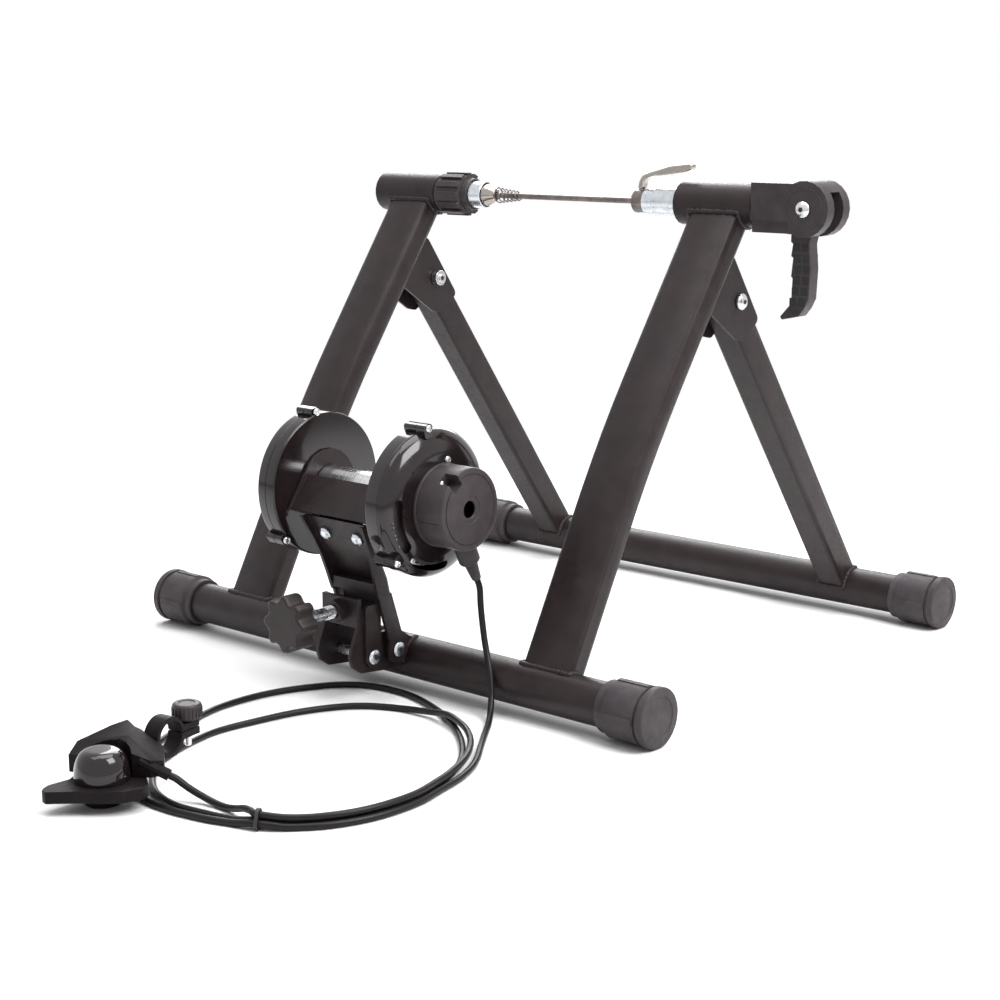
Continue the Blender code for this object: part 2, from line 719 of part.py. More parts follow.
def between_segments(a, b, c, d):
    """Least distance between the segments a-b and c-d."""
    ab = b - a
    cd = d - c
    start = a - c
    aa = ab.dot(ab)
    cc = cd.dot(cd)
    ac = ab.dot(cd)
    spread = aa * cc - ac * ac
    s = 0.0
    if spread > 1e-18:
        s = min(max((ac * cd.dot(start) - cc * ab.dot(start)) / spread, 0), 1)
    t = min(max((ac * s + cd.dot(start)) / cc, 0), 1)
    s = min(max((ac * t - ab.dot(start)) / aa, 0), 1)
    return (a + ab * s - c - cd * t).length


def least_gap(points, radius):
    """Least free space between a wound tube and itself, away from where it bends through."""
    points = [Vector(point) for point in points]
    lengths = [0.0]
    for one, two in zip(points, points[1:]):
        lengths.append(lengths[-1] + (two - one).length)
    least = 1.0
    for i in range(len(points) - 1):
        for j in range(i + 2, len(points) - 1):
            if lengths[j] - lengths[i + 1] > 6 * radius:
                distance = between_segments(points[i], points[i + 1], points[j], points[j + 1])
                least = min(least, distance)
    return least - 2 * radius


def skewer(steel, chrome):
    cup_floor = CONE_IN + CUP_DEPTH
    mouth_slack = 0.0005
    nut_profile = [
        (0, round_bore(SKEWER_RADIUS + SLIDE)),
        (0, CUP_FLOOR_RADIUS - mouth_slack),
        (cup_floor - GAP - CONE_IN, SKEWER_NUT_RADIUS),
        (0.55 * SKEWER_NUT_LENGTH, SKEWER_NUT_RADIUS),
        (SKEWER_NUT_LENGTH, 0.5 * SKEWER_NUT_RADIUS),
        (SKEWER_NUT_LENGTH, round_bore(SKEWER_RADIUS + SLIDE)),
    ]
    nut_at = AXLE - ACROSS * (cup_floor - GAP)
    add("skewer_nut", turned(nut_profile, nut_at, ACROSS, bored=True), chrome, AXLE)
    rod_end = -CONE_IN - 0.003
    head_end = SPINDLE_IN + SPINDLE_CUP_DEPTH - GAP
    profile = [
        (rod_end, 0),
        (rod_end, SKEWER_RADIUS),
        (SKEWER_HEAD_IN, SKEWER_RADIUS),
        (SKEWER_HEAD_IN, SKEWER_HEAD_RADIUS - 0.0015),
        (SKEWER_HEAD_IN + 0.0015, SKEWER_HEAD_RADIUS),
        (SPINDLE_IN, SKEWER_HEAD_RADIUS),
        (head_end, CUP_FLOOR_RADIUS - mouth_slack),
        (head_end, 0),
    ]
    body = add("skewer_rod", turned(profile, AXLE, ACROSS), chrome, AXLE)
    shaft_at = AXLE + ACROSS * SKEWER_CAM_X
    deep = SKEWER_HEAD_RADIUS
    cut(body, rod(-2 * deep, 2 * deep, SKEWER_CAM_RADIUS + SLIDE, shaft_at, UP, BOLT_SIDES, True))

    top = SKEWER_HEAD_RADIUS + GAP
    lever = add("skewer_lever", rod(-0.85 * deep, top + 0.002, SKEWER_CAM_RADIUS, shaft_at, UP), chrome, shaft_at)
    arm = [
        (-0.0042, top),
        (0.0042, top),
        (0.0050, top + 0.0055),
        (0.0075, top + 0.0085),
        (0.0110, top + 0.0100),
        (0.0500, top + 0.0170),
        (0.0525, top + 0.0205),
        (0.0485, top + 0.0218),
        (0.0090, top + 0.0140),
        (0.0010, top + 0.0110),
        (-0.0035, top + 0.0055),
    ]
    outline = [(SKEWER_CAM_X + a, AXLE_Z + b) for a, b in arm]
    half = SKEWER_LEVER_WIDTH / 2
    join(lever, prism(rounded(outline, 0.001, 2), "Y", AXLE_Y - half, AXLE_Y + half))

    big_end = -SKEWER_NUT_IN + GAP + SPRING_WIRE
    steps = SPRING_CURLS * 8
    points = []
    for k in range(steps + 1):
        share = k / steps
        angle = 2 * math.pi * SPRING_CURLS * share
        radius = SPRING_BIG + (SPRING_SMALL - SPRING_BIG) * share
        x = big_end + SPRING_LENGTH * share
        points.append(AXLE + Vector((x, radius * math.cos(angle), radius * math.sin(angle))))
    points.insert(0, points[0] - Vector((0, 0, 2 * SPRING_WIRE)))
    points.append(points[-1] + Vector((0, 0, 2 * SPRING_WIRE)))
    print(f"skewer_spring: least gap to itself {1000 * least_gap(points, SPRING_WIRE):.2f} mm")
    wire("skewer_spring", points, SPRING_WIRE, 1, steel, AXLE)


def sliding_spindle(zinc, steel):
    collar = [
        (COLLAR_X, SPINDLE_RADIUS),
        (COLLAR_X, COLLAR_RADIUS),
        (COLLAR_X + COLLAR_WIDTH, COLLAR_RADIUS),
        (COLLAR_X + COLLAR_WIDTH, SPINDLE_RADIUS),
    ]
    cup_floor = SPINDLE_IN + SPINDLE_CUP_DEPTH
    end = CAM_X - CAM_RADIUS - GAP
    profile = [
        (cup_floor, 0),
        (cup_floor, round_bore(CUP_FLOOR_RADIUS)),
        (SPINDLE_IN, round_bore(CUP_RADIUS - 0.0003)),
        (SPINDLE_IN, SPINDLE_NOSE),
        (SPINDLE_IN + SPINDLE_NOSE_LENGTH, SPINDLE_NOSE),
        (SPINDLE_IN + SPINDLE_NOSE_LENGTH + 0.001, SPINDLE_RADIUS),
        *collar,
        (end - 0.001, SPINDLE_RADIUS),
        (end, SPINDLE_RADIUS - 0.001),
        (end, 0),
    ]
    add("clamp_spindle", turned(profile, AXLE, ACROSS), zinc, AXLE)
    low = AXLE_TUBE_RIGHT_IN + GUIDE_LENGTH + GAP
    bore = SPINDLE_RADIUS + GAP
    sleeve = tube(low, COLLAR_X - GAP, TUBE_RADIUS - TUBE_WALL - GAP, bore, AXLE, ACROSS)
    add("spindle_spring", sleeve, steel, AXLE)


def cam_housing(paint, steel):
    cam = Vector((CAM_X, AXLE_Y, AXLE_Z - CAM_DROP))
    meet = math.degrees(math.asin(HOUSING_BOX_HALF / HOUSING_NOSE))
    start = AXLE_TUBE_RIGHT_OUT + GAP
    outline = [(start, cam.z - HOUSING_BOX_HALF)]
    outline += arc((cam.x, cam.z), HOUSING_NOSE, meet - 180, 180 - meet, 14)
    outline.append((start, cam.z + HOUSING_BOX_HALF))
    housing = add("cam_housing", prism(outline, "Y", AXLE_Y - HOUSING_HALF, AXLE_Y + HOUSING_HALF), paint)
    spigot = TUBE_RADIUS - TUBE_WALL - GAP
    join(housing, rod(start - HOUSING_SPIGOT, start + 0.002, spigot, AXLE, ACROSS))
    bore_end = CAM_X - CAM_BOSS + 0.001
    cut(housing, rod(start - 2 * HOUSING_SPIGOT, bore_end, SPINDLE_RADIUS + SLIDE, AXLE, ACROSS, SIDES, True))
    slot = [(cam.x - HOUSING_SLOT_BACK, cam.z - 2 * HOUSING_NOSE), (cam.x + 2 * HOUSING_NOSE, cam.z - 2 * HOUSING_NOSE)]
    slot.append((cam.x + 2 * HOUSING_NOSE, cam.z + HOUSING_SLOT_TOP))
    rise = math.degrees(math.asin(HOUSING_SLOT_TOP / HOUSING_SLOT_BACK))
    slot += arc((cam.x, cam.z), HOUSING_SLOT_BACK, rise, 180, 8)
    half = LEVER_HALF + HOUSING_SLOT_SLACK
    cut(housing, prism(slot, "Y", AXLE_Y - half, AXLE_Y + half))
    recess = rectangle(start - 0.01, CAM_X - 0.014, cam.z - 2 * HOUSING_BOX_HALF, cam.z - 0.010)
    deep = HOUSING_HALF - HOUSING_RECESS
    cut(housing, prism(recess, "Y", AXLE_Y - 2 * HOUSING_HALF, AXLE_Y - deep))
    cut(housing, prism(recess, "Y", AXLE_Y + deep, AXLE_Y + 2 * HOUSING_HALF))
    hole = CAM_BOLT_RADIUS + HOLE_SLACK
    cut(housing, rod(-2 * HOUSING_HALF, 2 * HOUSING_HALF, hole, cam, REARWARD, BOLT_SIDES, True))
    bolt("cam_pivot_bolt", cam, -REARWARD, -HOUSING_HALF, HOUSING_HALF, CAM_BOLT_RADIUS,
         CAM_HEAD_RADIUS, CAM_HEAD_HEIGHT, CAM_HEAD_RADIUS, CAM_HEAD_HEIGHT, steel)


def clamp_lever(plastic):
    """Its cam falls away at a constant rate per radian, which is what lets the spindle out."""
    cam = Vector((CAM_X, AXLE_Y, AXLE_Z - CAM_DROP))
    rate = (CAM_RADIUS - CAM_BOSS) / CAM_TURN
    outline = []
    for k in range(9):
        angle = math.pi - CAM_TURN * k / 8
        lift = CAM_RADIUS - rate * (math.pi - angle)
        outline.append((
            lift * math.cos(angle) - rate * math.sin(angle),
            lift * math.sin(angle) + rate * math.cos(angle),
        ))
    outline += arc((0, 0), CAM_BOSS, 180 - math.degrees(CAM_TURN), -30, 8)
    outline += [
        (0.0000, -0.0275),
        (0.0020, -0.0465),
        (0.0010, -0.0705),
        (-0.0030, -0.0785),
        (-0.0080, -0.0845),
        (-0.0235, -0.0880),
        (-0.0250, -0.0855),
        (-0.0165, -0.0760),
        (-0.0150, -0.0705),
        (-0.0145, -0.0545),
        (-0.0160, -0.0535),
        (-0.0145, -0.0385),
        (-0.0165, -0.0375),
        (-0.0150, -0.0275),
        (-0.0170, -0.0265),
        (-0.0170, -0.0190),
        (-0.0150, -0.0130),
    ]
    points = [(cam.x + a, cam.z + b) for a, b in outline]
    lever = add("clamp_lever", prism(points, "Y", AXLE_Y - LEVER_HALF, AXLE_Y + LEVER_HALF), plastic, cam)
    hole = CAM_BOLT_RADIUS + HOLE_SLACK
    cut(lever, rod(-2 * HOUSING_HALF, 2 * HOUSING_HALF, hole, cam, REARWARD, BOLT_SIDES, True))


ROLLER = Vector((UNIT_X, ROLLER_Y, ROLLER_Z))
EAR_IN = ROLLER_HALF + CRADLE_GAP
EAR_OUT = EAR_IN + CRADLE_SHEET
BOSS_END = EAR_OUT + BOSS_LENGTH
ARM_PIVOT = Vector((UNIT_X, ARM_PIVOT_Y, ARM_PIVOT_Z))
LINK_PIVOT = Vector((UNIT_X, LINK_PIVOT_Y, LINK_PIVOT_Z))
# Height, front edge of the flanges, front of the web and half width of the arm, from the bottom up
ARM_STATIONS = [
    (0.060, -0.0515, -0.0385, 0.0264),
    (0.075, -0.0560, -0.0435, 0.0278),
    (0.088, -0.0600, -0.0510, 0.0295),
    (0.100, -0.0650, -0.0595, 0.0315),
    (0.122, -0.0765, -0.0698, 0.0344),
]
ARM_RISE = Vector((
    0,
    ARM_STATIONS[-1][2] - ARM_STATIONS[-2][2],
    ARM_STATIONS[-1][0] - ARM_STATIONS[-2][0],
)).normalized()
ARM_BACK = Vector((0, ARM_RISE.z, -ARM_RISE.y))
CRADLE_CORNERS = [Vector((-0.052, 0.149)), Vector((-0.070, 0.127)), Vector((-0.010, 0.105))]


def roller_and_bearings(steel, bearing_steel):
    fit = SHAFT_RADIUS + GAP
    add("roller", tube(-ROLLER_HALF, ROLLER_HALF, ROLLER_RADIUS, fit, ROLLER, ACROSS), steel, ROLLER)
    add("roller_shaft", rod(-FLYWHEEL_END, BRAKE_HUB_END, SHAFT_RADIUS, ROLLER, ACROSS), steel, ROLLER)
    start = EAR_OUT + GAP
    for hand, side in (("left", -1), ("right", 1)):
        bearing = tube(start, start + BEARING_WIDTH, BEARING_RADIUS, fit, ROLLER, ACROSS * side)
        add(f"bearing_{hand}", bearing, bearing_steel, ARM_PIVOT)


def sheet_outline(points, thickness):
    """A bent sheet as an outline, thickened to the left of its run."""
    outer = []
    for i, point in enumerate(points):
        runs = []
        if i > 0:
            runs.append((point - points[i - 1]).normalized())
        if i < len(points) - 1:
            runs.append((points[i + 1] - point).normalized())
        sides = [Vector((-run.y, run.x)) for run in runs]
        middle = sum(sides, Vector((0, 0))).normalized()
        outer.append(point + middle * thickness / middle.dot(sides[0]))
    return list(points) + outer[::-1]


def roller_cradle(paint):
    corners = CRADLE_CORNERS[::-1]
    low = UNIT_X - EAR_IN - CRADLE_SHEET / 2
    high = UNIT_X + EAR_IN + CRADLE_SHEET / 2
    cradle = add("roller_cradle", prism(sheet_outline(corners, CRADLE_SHEET), "X", low, high), paint, ARM_PIVOT)
    spread = [corners[0] * 2 - corners[1], corners[1], corners[2] * 2 - corners[1]]
    longer = [corners[k].lerp(spread[k], EAR_LIP / (corners[1] - corners[k]).length) for k in (0, 2)]
    edge = sheet_outline([longer[0], corners[1], longer[1]], CRADLE_SHEET + EAR_LIP)
    ear = hull(edge + arc((ROLLER_Y, ROLLER_Z), CRADLE_EAR_RADIUS, 0, 340, 17))
    for side in (-1, 1):
        near, far = sorted((UNIT_X + side * EAR_IN, UNIT_X + side * EAR_OUT))
        join(cradle, prism(ear, "X", near, far))
        start = EAR_OUT - CRADLE_SHEET / 2
        join(cradle, tube(start, BOSS_END, BOSS_RADIUS, BEARING_RADIUS + GAP, ROLLER, ACROSS * side))
    back = Vector((0, ARM_SHEET + GAP, 0)) + ARM_BACK * 0.0001
    top = Vector((0, ARM_STATIONS[-1][2], ARM_STATIONS[-1][0])) + back + ARM_RISE * 0.0016
    bottom = Vector((0, ARM_STATIONS[-2][2], ARM_STATIONS[-2][0])) + back + ARM_RISE * 0.0025
    tab = [top, top + ARM_BACK * ARM_SHEET, bottom + ARM_BACK * ARM_SHEET, bottom]
    outline = [in_side_plane(corner) for corner in tab]
    join(cradle, prism(outline, "X", UNIT_X - MOUNT_HALF, UNIT_X + MOUNT_HALF))
    for side in (-1, 1):
        hole = SHAFT_RADIUS + SHAFT_CLEARANCE
        cut(cradle, rod(0.5 * EAR_IN, 2 * BOSS_END, hole, ROLLER, ACROSS * side, BOLT_SIDES, True))
        cut(cradle, cradle_bolt_hole(side))


def cradle_bolt_at(side):
    """Where a bolt's axis meets the front of the arm's web."""
    share = (CRADLE_BOLT_Z - ARM_STATIONS[-2][0]) / (ARM_STATIONS[-1][0] - ARM_STATIONS[-2][0])
    y = ARM_STATIONS[-2][2] + share * (ARM_STATIONS[-1][2] - ARM_STATIONS[-2][2])
    return Vector((UNIT_X + side * CRADLE_BOLT_X, y, CRADLE_BOLT_Z))


def cradle_bolt_hole(side):
    reach = 4 * ARM_SHEET
    return rod(-reach, reach, CRADLE_BOLT_RADIUS + HOLE_SLACK, cradle_bolt_at(side), ARM_BACK, BOLT_SIDES, True)


def cradle_bolts(steel):
    web = ARM_SHEET * ARM_RISE.z
    behind = web + GAP + ARM_SHEET + 0.0002
    for hand, side in (("left", -1), ("right", 1)):
        bolt(f"cradle_bolt_{hand}", cradle_bolt_at(side), -ARM_BACK, -behind, 0, CRADLE_BOLT_RADIUS,
             CRADLE_HEAD_RADIUS, CRADLE_HEAD_HEIGHT, CRADLE_HEAD_RADIUS, CRADLE_HEAD_HEIGHT, steel, ARM_PIVOT)


def flywheel(iron):
    profile = [
        (FLYWHEEL_START, FLYWHEEL_RADIUS),
        (FLYWHEEL_END, FLYWHEEL_RADIUS),
        (FLYWHEEL_END, round_bore(SHAFT_RADIUS + GAP, DRUM_SIDES)),
        (FLYWHEEL_HUB_START, round_bore(SHAFT_RADIUS + GAP, DRUM_SIDES)),
        (FLYWHEEL_HUB_START, FLYWHEEL_RECESS),
        (FLYWHEEL_START, FLYWHEEL_RECESS),
    ]
    add("flywheel", turned(profile, ROLLER, -ACROSS, DRUM_SIDES, bored=True), iron, ROLLER)


def brake(alloy, plastic, magnet):
    """Metal disc on the shaft, and the plate of magnets that the cable turns in front of it."""
    bore = round_bore(SHAFT_RADIUS + GAP, DRUM_SIDES)
    profile = [
        (BRAKE_START, BRAKE_RADIUS),
        (BRAKE_START + BRAKE_THICK, BRAKE_RADIUS),
        (BRAKE_START + BRAKE_THICK, BRAKE_HUB_RADIUS),
        (BRAKE_HUB_END, BRAKE_HUB_RADIUS),
        (BRAKE_HUB_END, bore),
        (BRAKE_START, bore),
    ]
    add("brake_disc", turned(profile, ROLLER, ACROSS, DRUM_SIDES, bored=True), alloy, ROLLER)
    back = MAGNET_PLATE_START + MAGNET_PLATE_THICK
    profile = [
        (MAGNET_PLATE_START, 0),
        (MAGNET_PLATE_START, MAGNET_PLATE_RADIUS),
        (back, MAGNET_PLATE_RADIUS),
        (back, STEM_RADIUS),
        (DRUM_START, STEM_RADIUS),
        (DRUM_START, DRUM_RADIUS),
        (DRUM_START + DRUM_WIDTH, DRUM_RADIUS),
        (DRUM_START + DRUM_WIDTH, 0),
    ]
    plate = add("magnet_plate", turned(profile, ROLLER, ACROSS, DRUM_SIDES), plastic, ROLLER)
    plate.data.materials.append(magnet)
    for k in range(MAGNET_COUNT):
        middle = 360 * k / MAGNET_COUNT
        sweep = 0.35 * 360 / MAGNET_COUNT
        outline = arc((ROLLER_Y, ROLLER_Z), MAGNET_OUTER, middle - sweep, middle + sweep, 2)
        outline += arc((ROLLER_Y, ROLLER_Z), MAGNET_INNER, middle + sweep, middle - sweep, 2)
        face = UNIT_X + MAGNET_PLATE_START
        join(plate, prism(outline, "X", face - MAGNET_HEIGHT, face + 0.5 * MAGNET_PLATE_THICK))


def drum_shell(name, side, closed_at, open_at, hole, paint, domed=False):
    """Half a drum: a flat face at closed_at, a rim that runs to open_at and screw posts along it."""
    inward = 1 if open_at > closed_at else -1
    face = closed_at + inward * HOUSING_WALL
    bore = HOUSING_RADIUS - HOUSING_WALL
    centre = round_bore(hole, DRUM_SIDES)
    outside = [(0, HOUSING_EDGE), (HOUSING_EDGE, 0)]
    inside = [(HOUSING_WALL, HOUSING_WALL)]
    if domed:
        outside, inside = SHOULDER, SHOULDER_INSIDE
    profile = [
        (closed_at, centre),
        *[(closed_at + inward * deep, HOUSING_RADIUS - reach) for deep, reach in outside],
        (open_at, HOUSING_RADIUS),
        (open_at, bore),
        *[(closed_at + inward * deep, HOUSING_RADIUS - reach) for deep, reach in inside],
        (face, centre),
    ]
    shell = add(name, turned(profile, ROLLER, ACROSS * side, DRUM_SIDES, bored=hole > 0), paint, ARM_PIVOT)
    end = closed_at + inward * (POST_INSET_DOMED if domed else POST_INSET)
    root = bore - POST_ROOT_DOMED if domed else bore + 0.5 * HOUSING_WALL
    for angle in POST_ANGLES:
        out = Vector((math.cos(math.radians(angle)), math.sin(math.radians(angle))))
        along = Vector((-out.y, out.x)) * POST_WIDTH / 2
        middle = Vector((ROLLER_Y, ROLLER_Z))
        foot = middle + out * root
        top = middle + out * (HOUSING_RADIUS + POST_RISE)
        outline = rounded([foot - along, foot + along, top + along, top - along], [0, 0, 0.003, 0.003], 3)
        low, high = sorted((side * open_at, side * end))
        join(shell, prism(outline, "X", UNIT_X + low, UNIT_X + high))


def housings(gloss):
    boss = BOSS_RADIUS + GAP
    seam = DISC_START + INNER_SHARE_LEFT
    drum_shell("flywheel_housing_inner", -1, DISC_START, seam, boss, gloss)
    drum_shell("flywheel_housing_outer", -1, DISC_START + FLYWHEEL_DRUM, seam + GAP, 0, gloss)
    seam = DISC_START + INNER_SHARE_RIGHT
    drum_shell("magnet_housing_inner", 1, DISC_START, seam, boss, gloss)
    stem = STEM_RADIUS + SLIDE
    drum_shell("magnet_housing_outer", 1, DISC_START + MAGNET_DRUM, seam + GAP, stem, gloss, True)


def hub_cover_and_boot(paint, rubber):
    start = DISC_START + MAGNET_DRUM + GAP
    end = start + HUB_COVER_LENGTH
    bore = HUB_COVER_RADIUS - HUB_COVER_WALL
    profile = [
        (start, HUB_COVER_RADIUS),
        (end - 0.0015, HUB_COVER_RADIUS),
        (end, HUB_COVER_RADIUS - 0.0015),
        (end, round_bore(HUB_COVER_HOLE, DRUM_SIDES)),
        (end - HUB_COVER_WALL, round_bore(HUB_COVER_HOLE, DRUM_SIDES)),
        (end - HUB_COVER_WALL, bore),
        (start, bore),
    ]
    cover = add("cable_hub_cover", turned(profile, ROLLER, ACROSS, DRUM_SIDES, bored=True), paint, ARM_PIVOT)
    top = Vector((BOOT_X, BOOT_TOP_Y, BOOT_TOP_Z))
    run = Vector((BOOT_X, BOOT_END_Y, BOOT_END_Z)) - top
    length = run.length
    cut(cover, rod(-0.3 * length, 0.5 * length, CABLE_RADIUS + 0.0005, top, run, BOLT_SIDES))
    profile = [
        (-0.003, 0),
        (-0.003, BOOT_COLLAR),
        (BOOT_COLLAR_LENGTH - 0.001, BOOT_COLLAR),
        (BOOT_COLLAR_LENGTH, BOOT_COLLAR - 0.001),
        (BOOT_COLLAR_LENGTH, 0.65 * BOOT_COLLAR),
        (length, BOOT_TIP),
        (length, 0),
    ]
    boot = add("cable_boot", turned(profile, top, run, 16), rubber, ARM_PIVOT)
    reach = BOOT_X - UNIT_X
    cut(boot, rod(0, 2 * reach, HUB_COVER_RADIUS + GAP, ROLLER, ACROSS, DRUM_SIDES, True))


def arm_bracket(paint):
    """Folded arm, open to the front, from the clevis up to the cradle."""
    rings = []
    for height, front, web, half in ARM_STATIONS:
        outline = [
            (-half, front),
            (-half, web + ARM_SHEET),
            (half, web + ARM_SHEET),
            (half, front),
            (half - ARM_SHEET, front),
            (half - ARM_SHEET, web),
            (-half + ARM_SHEET, web),
            (-half + ARM_SHEET, front),
        ]
        bends = [0, ARM_BEND, ARM_BEND, 0, 0, ARM_BEND - 0.0025, ARM_BEND - 0.0025, 0]
        outline = rounded(outline, bends, 2)
        rings.append([Vector((UNIT_X + a, b, height)) for a, b in outline])
    arm = add("arm_bracket", skin(rings), paint, ARM_PIVOT)
    flange = [(-0.0515, 0.064), (-0.0446, 0.041), (-0.0392, 0.023)]
    flange += arc((ARM_PIVOT_Y, ARM_PIVOT_Z), FLANGE_LOBE, 165, 385, 10)
    flange += [(-0.0254, 0.0290), (-0.0365, 0.062)]
    for side in (-1, 1):
        near, far = sorted((UNIT_X + side * FLANGE_INNER, UNIT_X + side * (FLANGE_INNER + ARM_SHEET)))
        join(arm, prism(flange, "X", near, far))
    strip = [(-0.052, 0.062), (-0.052, 0.071), (-0.0407, 0.071), (-0.0397, 0.068), (-0.049, 0.068), (-0.049, 0.062)]
    join(arm, prism(strip, "X", UNIT_X - STRIP_HALF, UNIT_X + STRIP_HALF))
    back = LINK_WEB_Y + LINK_WEB_SHEET + LINK_PLAY
    tab = [
        (back, 0.045),
        (back + ARM_SHEET, 0.045),
        (back + ARM_SHEET, 0.057),
        (-0.0366, 0.0615),
        (-0.0375, 0.0645),
        (-0.0393, 0.0645),
        (back, 0.0605),
    ]
    join(arm, prism(tab, "X", UNIT_X - TAB_HALF, UNIT_X + TAB_HALF))
    hole = PIVOT_RADIUS + HOLE_SLACK
    cut(arm, rod(-2 * STRIP_HALF, 2 * STRIP_HALF, hole, ARM_PIVOT, ACROSS, BOLT_SIDES, True))
    for side in (-1, 1):
        cut(arm, cradle_bolt_hole(side))


def clevis(paint):
    """Two cheeks welded to the front tube, with the web that holds the tension screw's nut."""
    half = CLEVIS_INNER + CLEVIS_SHEET
    outline = [
        (CLEVIS_FRONT_Y, CLEVIS_TOP_Z),
        (CLEVIS_FRONT_Y, 0.0375),
        (-0.0740, 0.0230),
        (-0.0766, 0.0157),
        (-0.0735, 0.0069),
        (-0.0647, 0.0008),
        (-0.0420, -0.0018),
        (-0.0190, -0.0029),
        (0.0000, -0.0029),
        (0.0000, 0.0150),
        (-0.0100, 0.0200),
        (-0.0180, 0.0260),
        (-0.0300, 0.0290),
        (-0.0550, 0.0310),
        (-0.0610, 0.0340),
        (CLEVIS_FRONT_Y + CLEVIS_SHEET + 0.0012, CLEVIS_TOP_Z),
    ]
    body = add("clevis_bracket", prism(outline, "X", UNIT_X - half, UNIT_X + half), paint)
    behind = CLEVIS_FRONT_Y + CLEVIS_SHEET
    inside = [(behind, 0.1), (0.1, 0.1), (0.1, -0.1), (-0.1, -0.1), (-0.1, 0.038), (behind, 0.038)]
    cut(body, prism(inside, "X", UNIT_X - CLEVIS_INNER, UNIT_X + CLEVIS_INNER))
    cut(body, rod(-2 * half, 2 * half, TUBE_RADIUS + GAP, ORIGIN + ACROSS * UNIT_X, ACROSS, SIDES, True))
    for pivot in (ARM_PIVOT, LINK_PIVOT):
        cut(body, rod(-2 * half, 2 * half, PIVOT_RADIUS + HOLE_SLACK, pivot, ACROSS, BOLT_SIDES, True))
    screw = Vector((UNIT_X, CLEVIS_FRONT_Y, SCREW_Z))
    join(body, rod(-SCREW_NUT_HEIGHT, 0.3 * CLEVIS_SHEET, SCREW_NUT_RADIUS, screw, REARWARD, 6))
    bore = SCREW_RADIUS + SCREW_THREAD_SLACK
    cut(body, rod(-2 * SCREW_NUT_HEIGHT, 2 * CLEVIS_SHEET, bore, screw, REARWARD, BOLT_SIDES, True))


def swing_link(paint):
    """Straps outside the clevis, joined by the web that the tension screw pushes."""
    web = rectangle(LINK_WEB_Y, LINK_WEB_Y + LINK_WEB_SHEET, LINK_WEB_LOW_Z, LINK_WEB_HIGH_Z)
    half = LINK_INNER + LINK_SHEET / 2
    link = add("swing_link", prism(web, "X", UNIT_X - half, UNIT_X + half), paint, LINK_PIVOT)
    foot = arc((LINK_PIVOT_Y, LINK_PIVOT_Z), LINK_END_RADIUS, 180, 360, 8)
    corners = [(LINK_PIVOT_Y + LINK_END_RADIUS, LINK_TOP_Z), (LINK_PIVOT_Y - LINK_END_RADIUS, LINK_TOP_Z)]
    bends = [0] * len(foot) + [0.004, 0.004]
    strap = rounded(foot + corners, bends, 3)
    for side in (-1, 1):
        near, far = sorted((UNIT_X + side * LINK_INNER, UNIT_X + side * (LINK_INNER + LINK_SHEET)))
        join(link, prism(strap, "X", near, far))
    hole = PIVOT_RADIUS + HOLE_SLACK
    cut(link, rod(-4 * half, 4 * half, hole, LINK_PIVOT, ACROSS, BOLT_SIDES, True))


def pivot_bolts(steel):
    arm_half = FLANGE_INNER + ARM_SHEET
    link_half = LINK_INNER + LINK_SHEET
    for name, pivot, half in (("arm_pivot_bolt", ARM_PIVOT, arm_half), ("link_pivot_bolt", LINK_PIVOT, link_half)):
        bolt(name, pivot, ACROSS, -half, half, PIVOT_RADIUS,
             PIVOT_HEAD, PIVOT_HEAD_HEIGHT, PIVOT_HEAD, PIVOT_NUT_HEIGHT, steel)


def tension_screw_and_knob(steel, gloss):
    tip = LINK_WEB_Y - LINK_PLAY
    screw = Vector((UNIT_X, tip, SCREW_Z))
    length = tip - SCREW_END_Y
    profile = [
        (0, 0),
        (0, 0.5 * SCREW_RADIUS),
        (0.0012, 0.85 * SCREW_RADIUS),
        (0.0030, SCREW_RADIUS),
        (length, SCREW_RADIUS),
        (length, 0),
    ]
    add("tension_screw", turned(profile, screw, -REARWARD, 16), steel, screw)

    def lobed(share):
        return lambda angle: share * (KNOB_RADIUS + KNOB_LOBE * math.cos(KNOB_LOBES * angle))

    bore = round_bore(SCREW_RADIUS + GAP, KNOB_SIDES)
    depth = KNOB_BACK_Y - SCREW_END_Y + GAP
    back = Vector((UNIT_X, KNOB_BACK_Y, SCREW_Z))
    long = KNOB_BACK_Y - KNOB_FRONT_Y
    profile = [
        (depth, 0),
        (depth, bore),
        (0, bore),
        (0, 0.5 * KNOB_RADIUS),
        (0.002, 0.55 * KNOB_RADIUS),
        (0.003, lobed(0.88)),
        (0.006, lobed(1)),
        (long - 0.003, lobed(1)),
        (long - 0.001, lobed(0.97)),
        (long, lobed(0.92)),
        (long, 0),
    ]
    add("star_knob", turned(profile, back, -REARWARD, KNOB_SIDES), gloss, screw)


SHIFTER = Matrix.Translation((SHIFTER_X, SHIFTER_Y, -CAP_RADIUS)) @ Matrix.Rotation(SHIFTER_TURN, 4, "Z")
THUMB_AXIS = SHIFTER @ Vector((*THUMB_PIVOT, 0))
CASE_LOW = THUMB_HIGH + GAP
CLAMP_ALONG = Vector(CLAMP_AXIS).normalized()
CLAMP_OUT = UP.cross(CLAMP_ALONG)
THUMB_OUTLINE = [
    (-0.0370, 0.0080),
    (-0.0390, 0.0020),
    (-0.0390, -0.0020),
    (-0.0360, -0.0060),
    (-0.0150, -0.0050),
    (0.0000, -0.0060),
    (0.0150, -0.0050),
    (0.0270, 0.0020),
    (0.0300, 0.0100),
    (0.0260, 0.0250),
]


def in_shifter(shape):
    shape.transform(SHIFTER)
    return shape


def clamp_place(out, high, along):
    """A point of the handlebar clamp, from its bore's axis, in the shifter's coordinates."""
    return Vector(CLAMP_CENTRE) + CLAMP_OUT * out + UP * high + CLAMP_ALONG * along


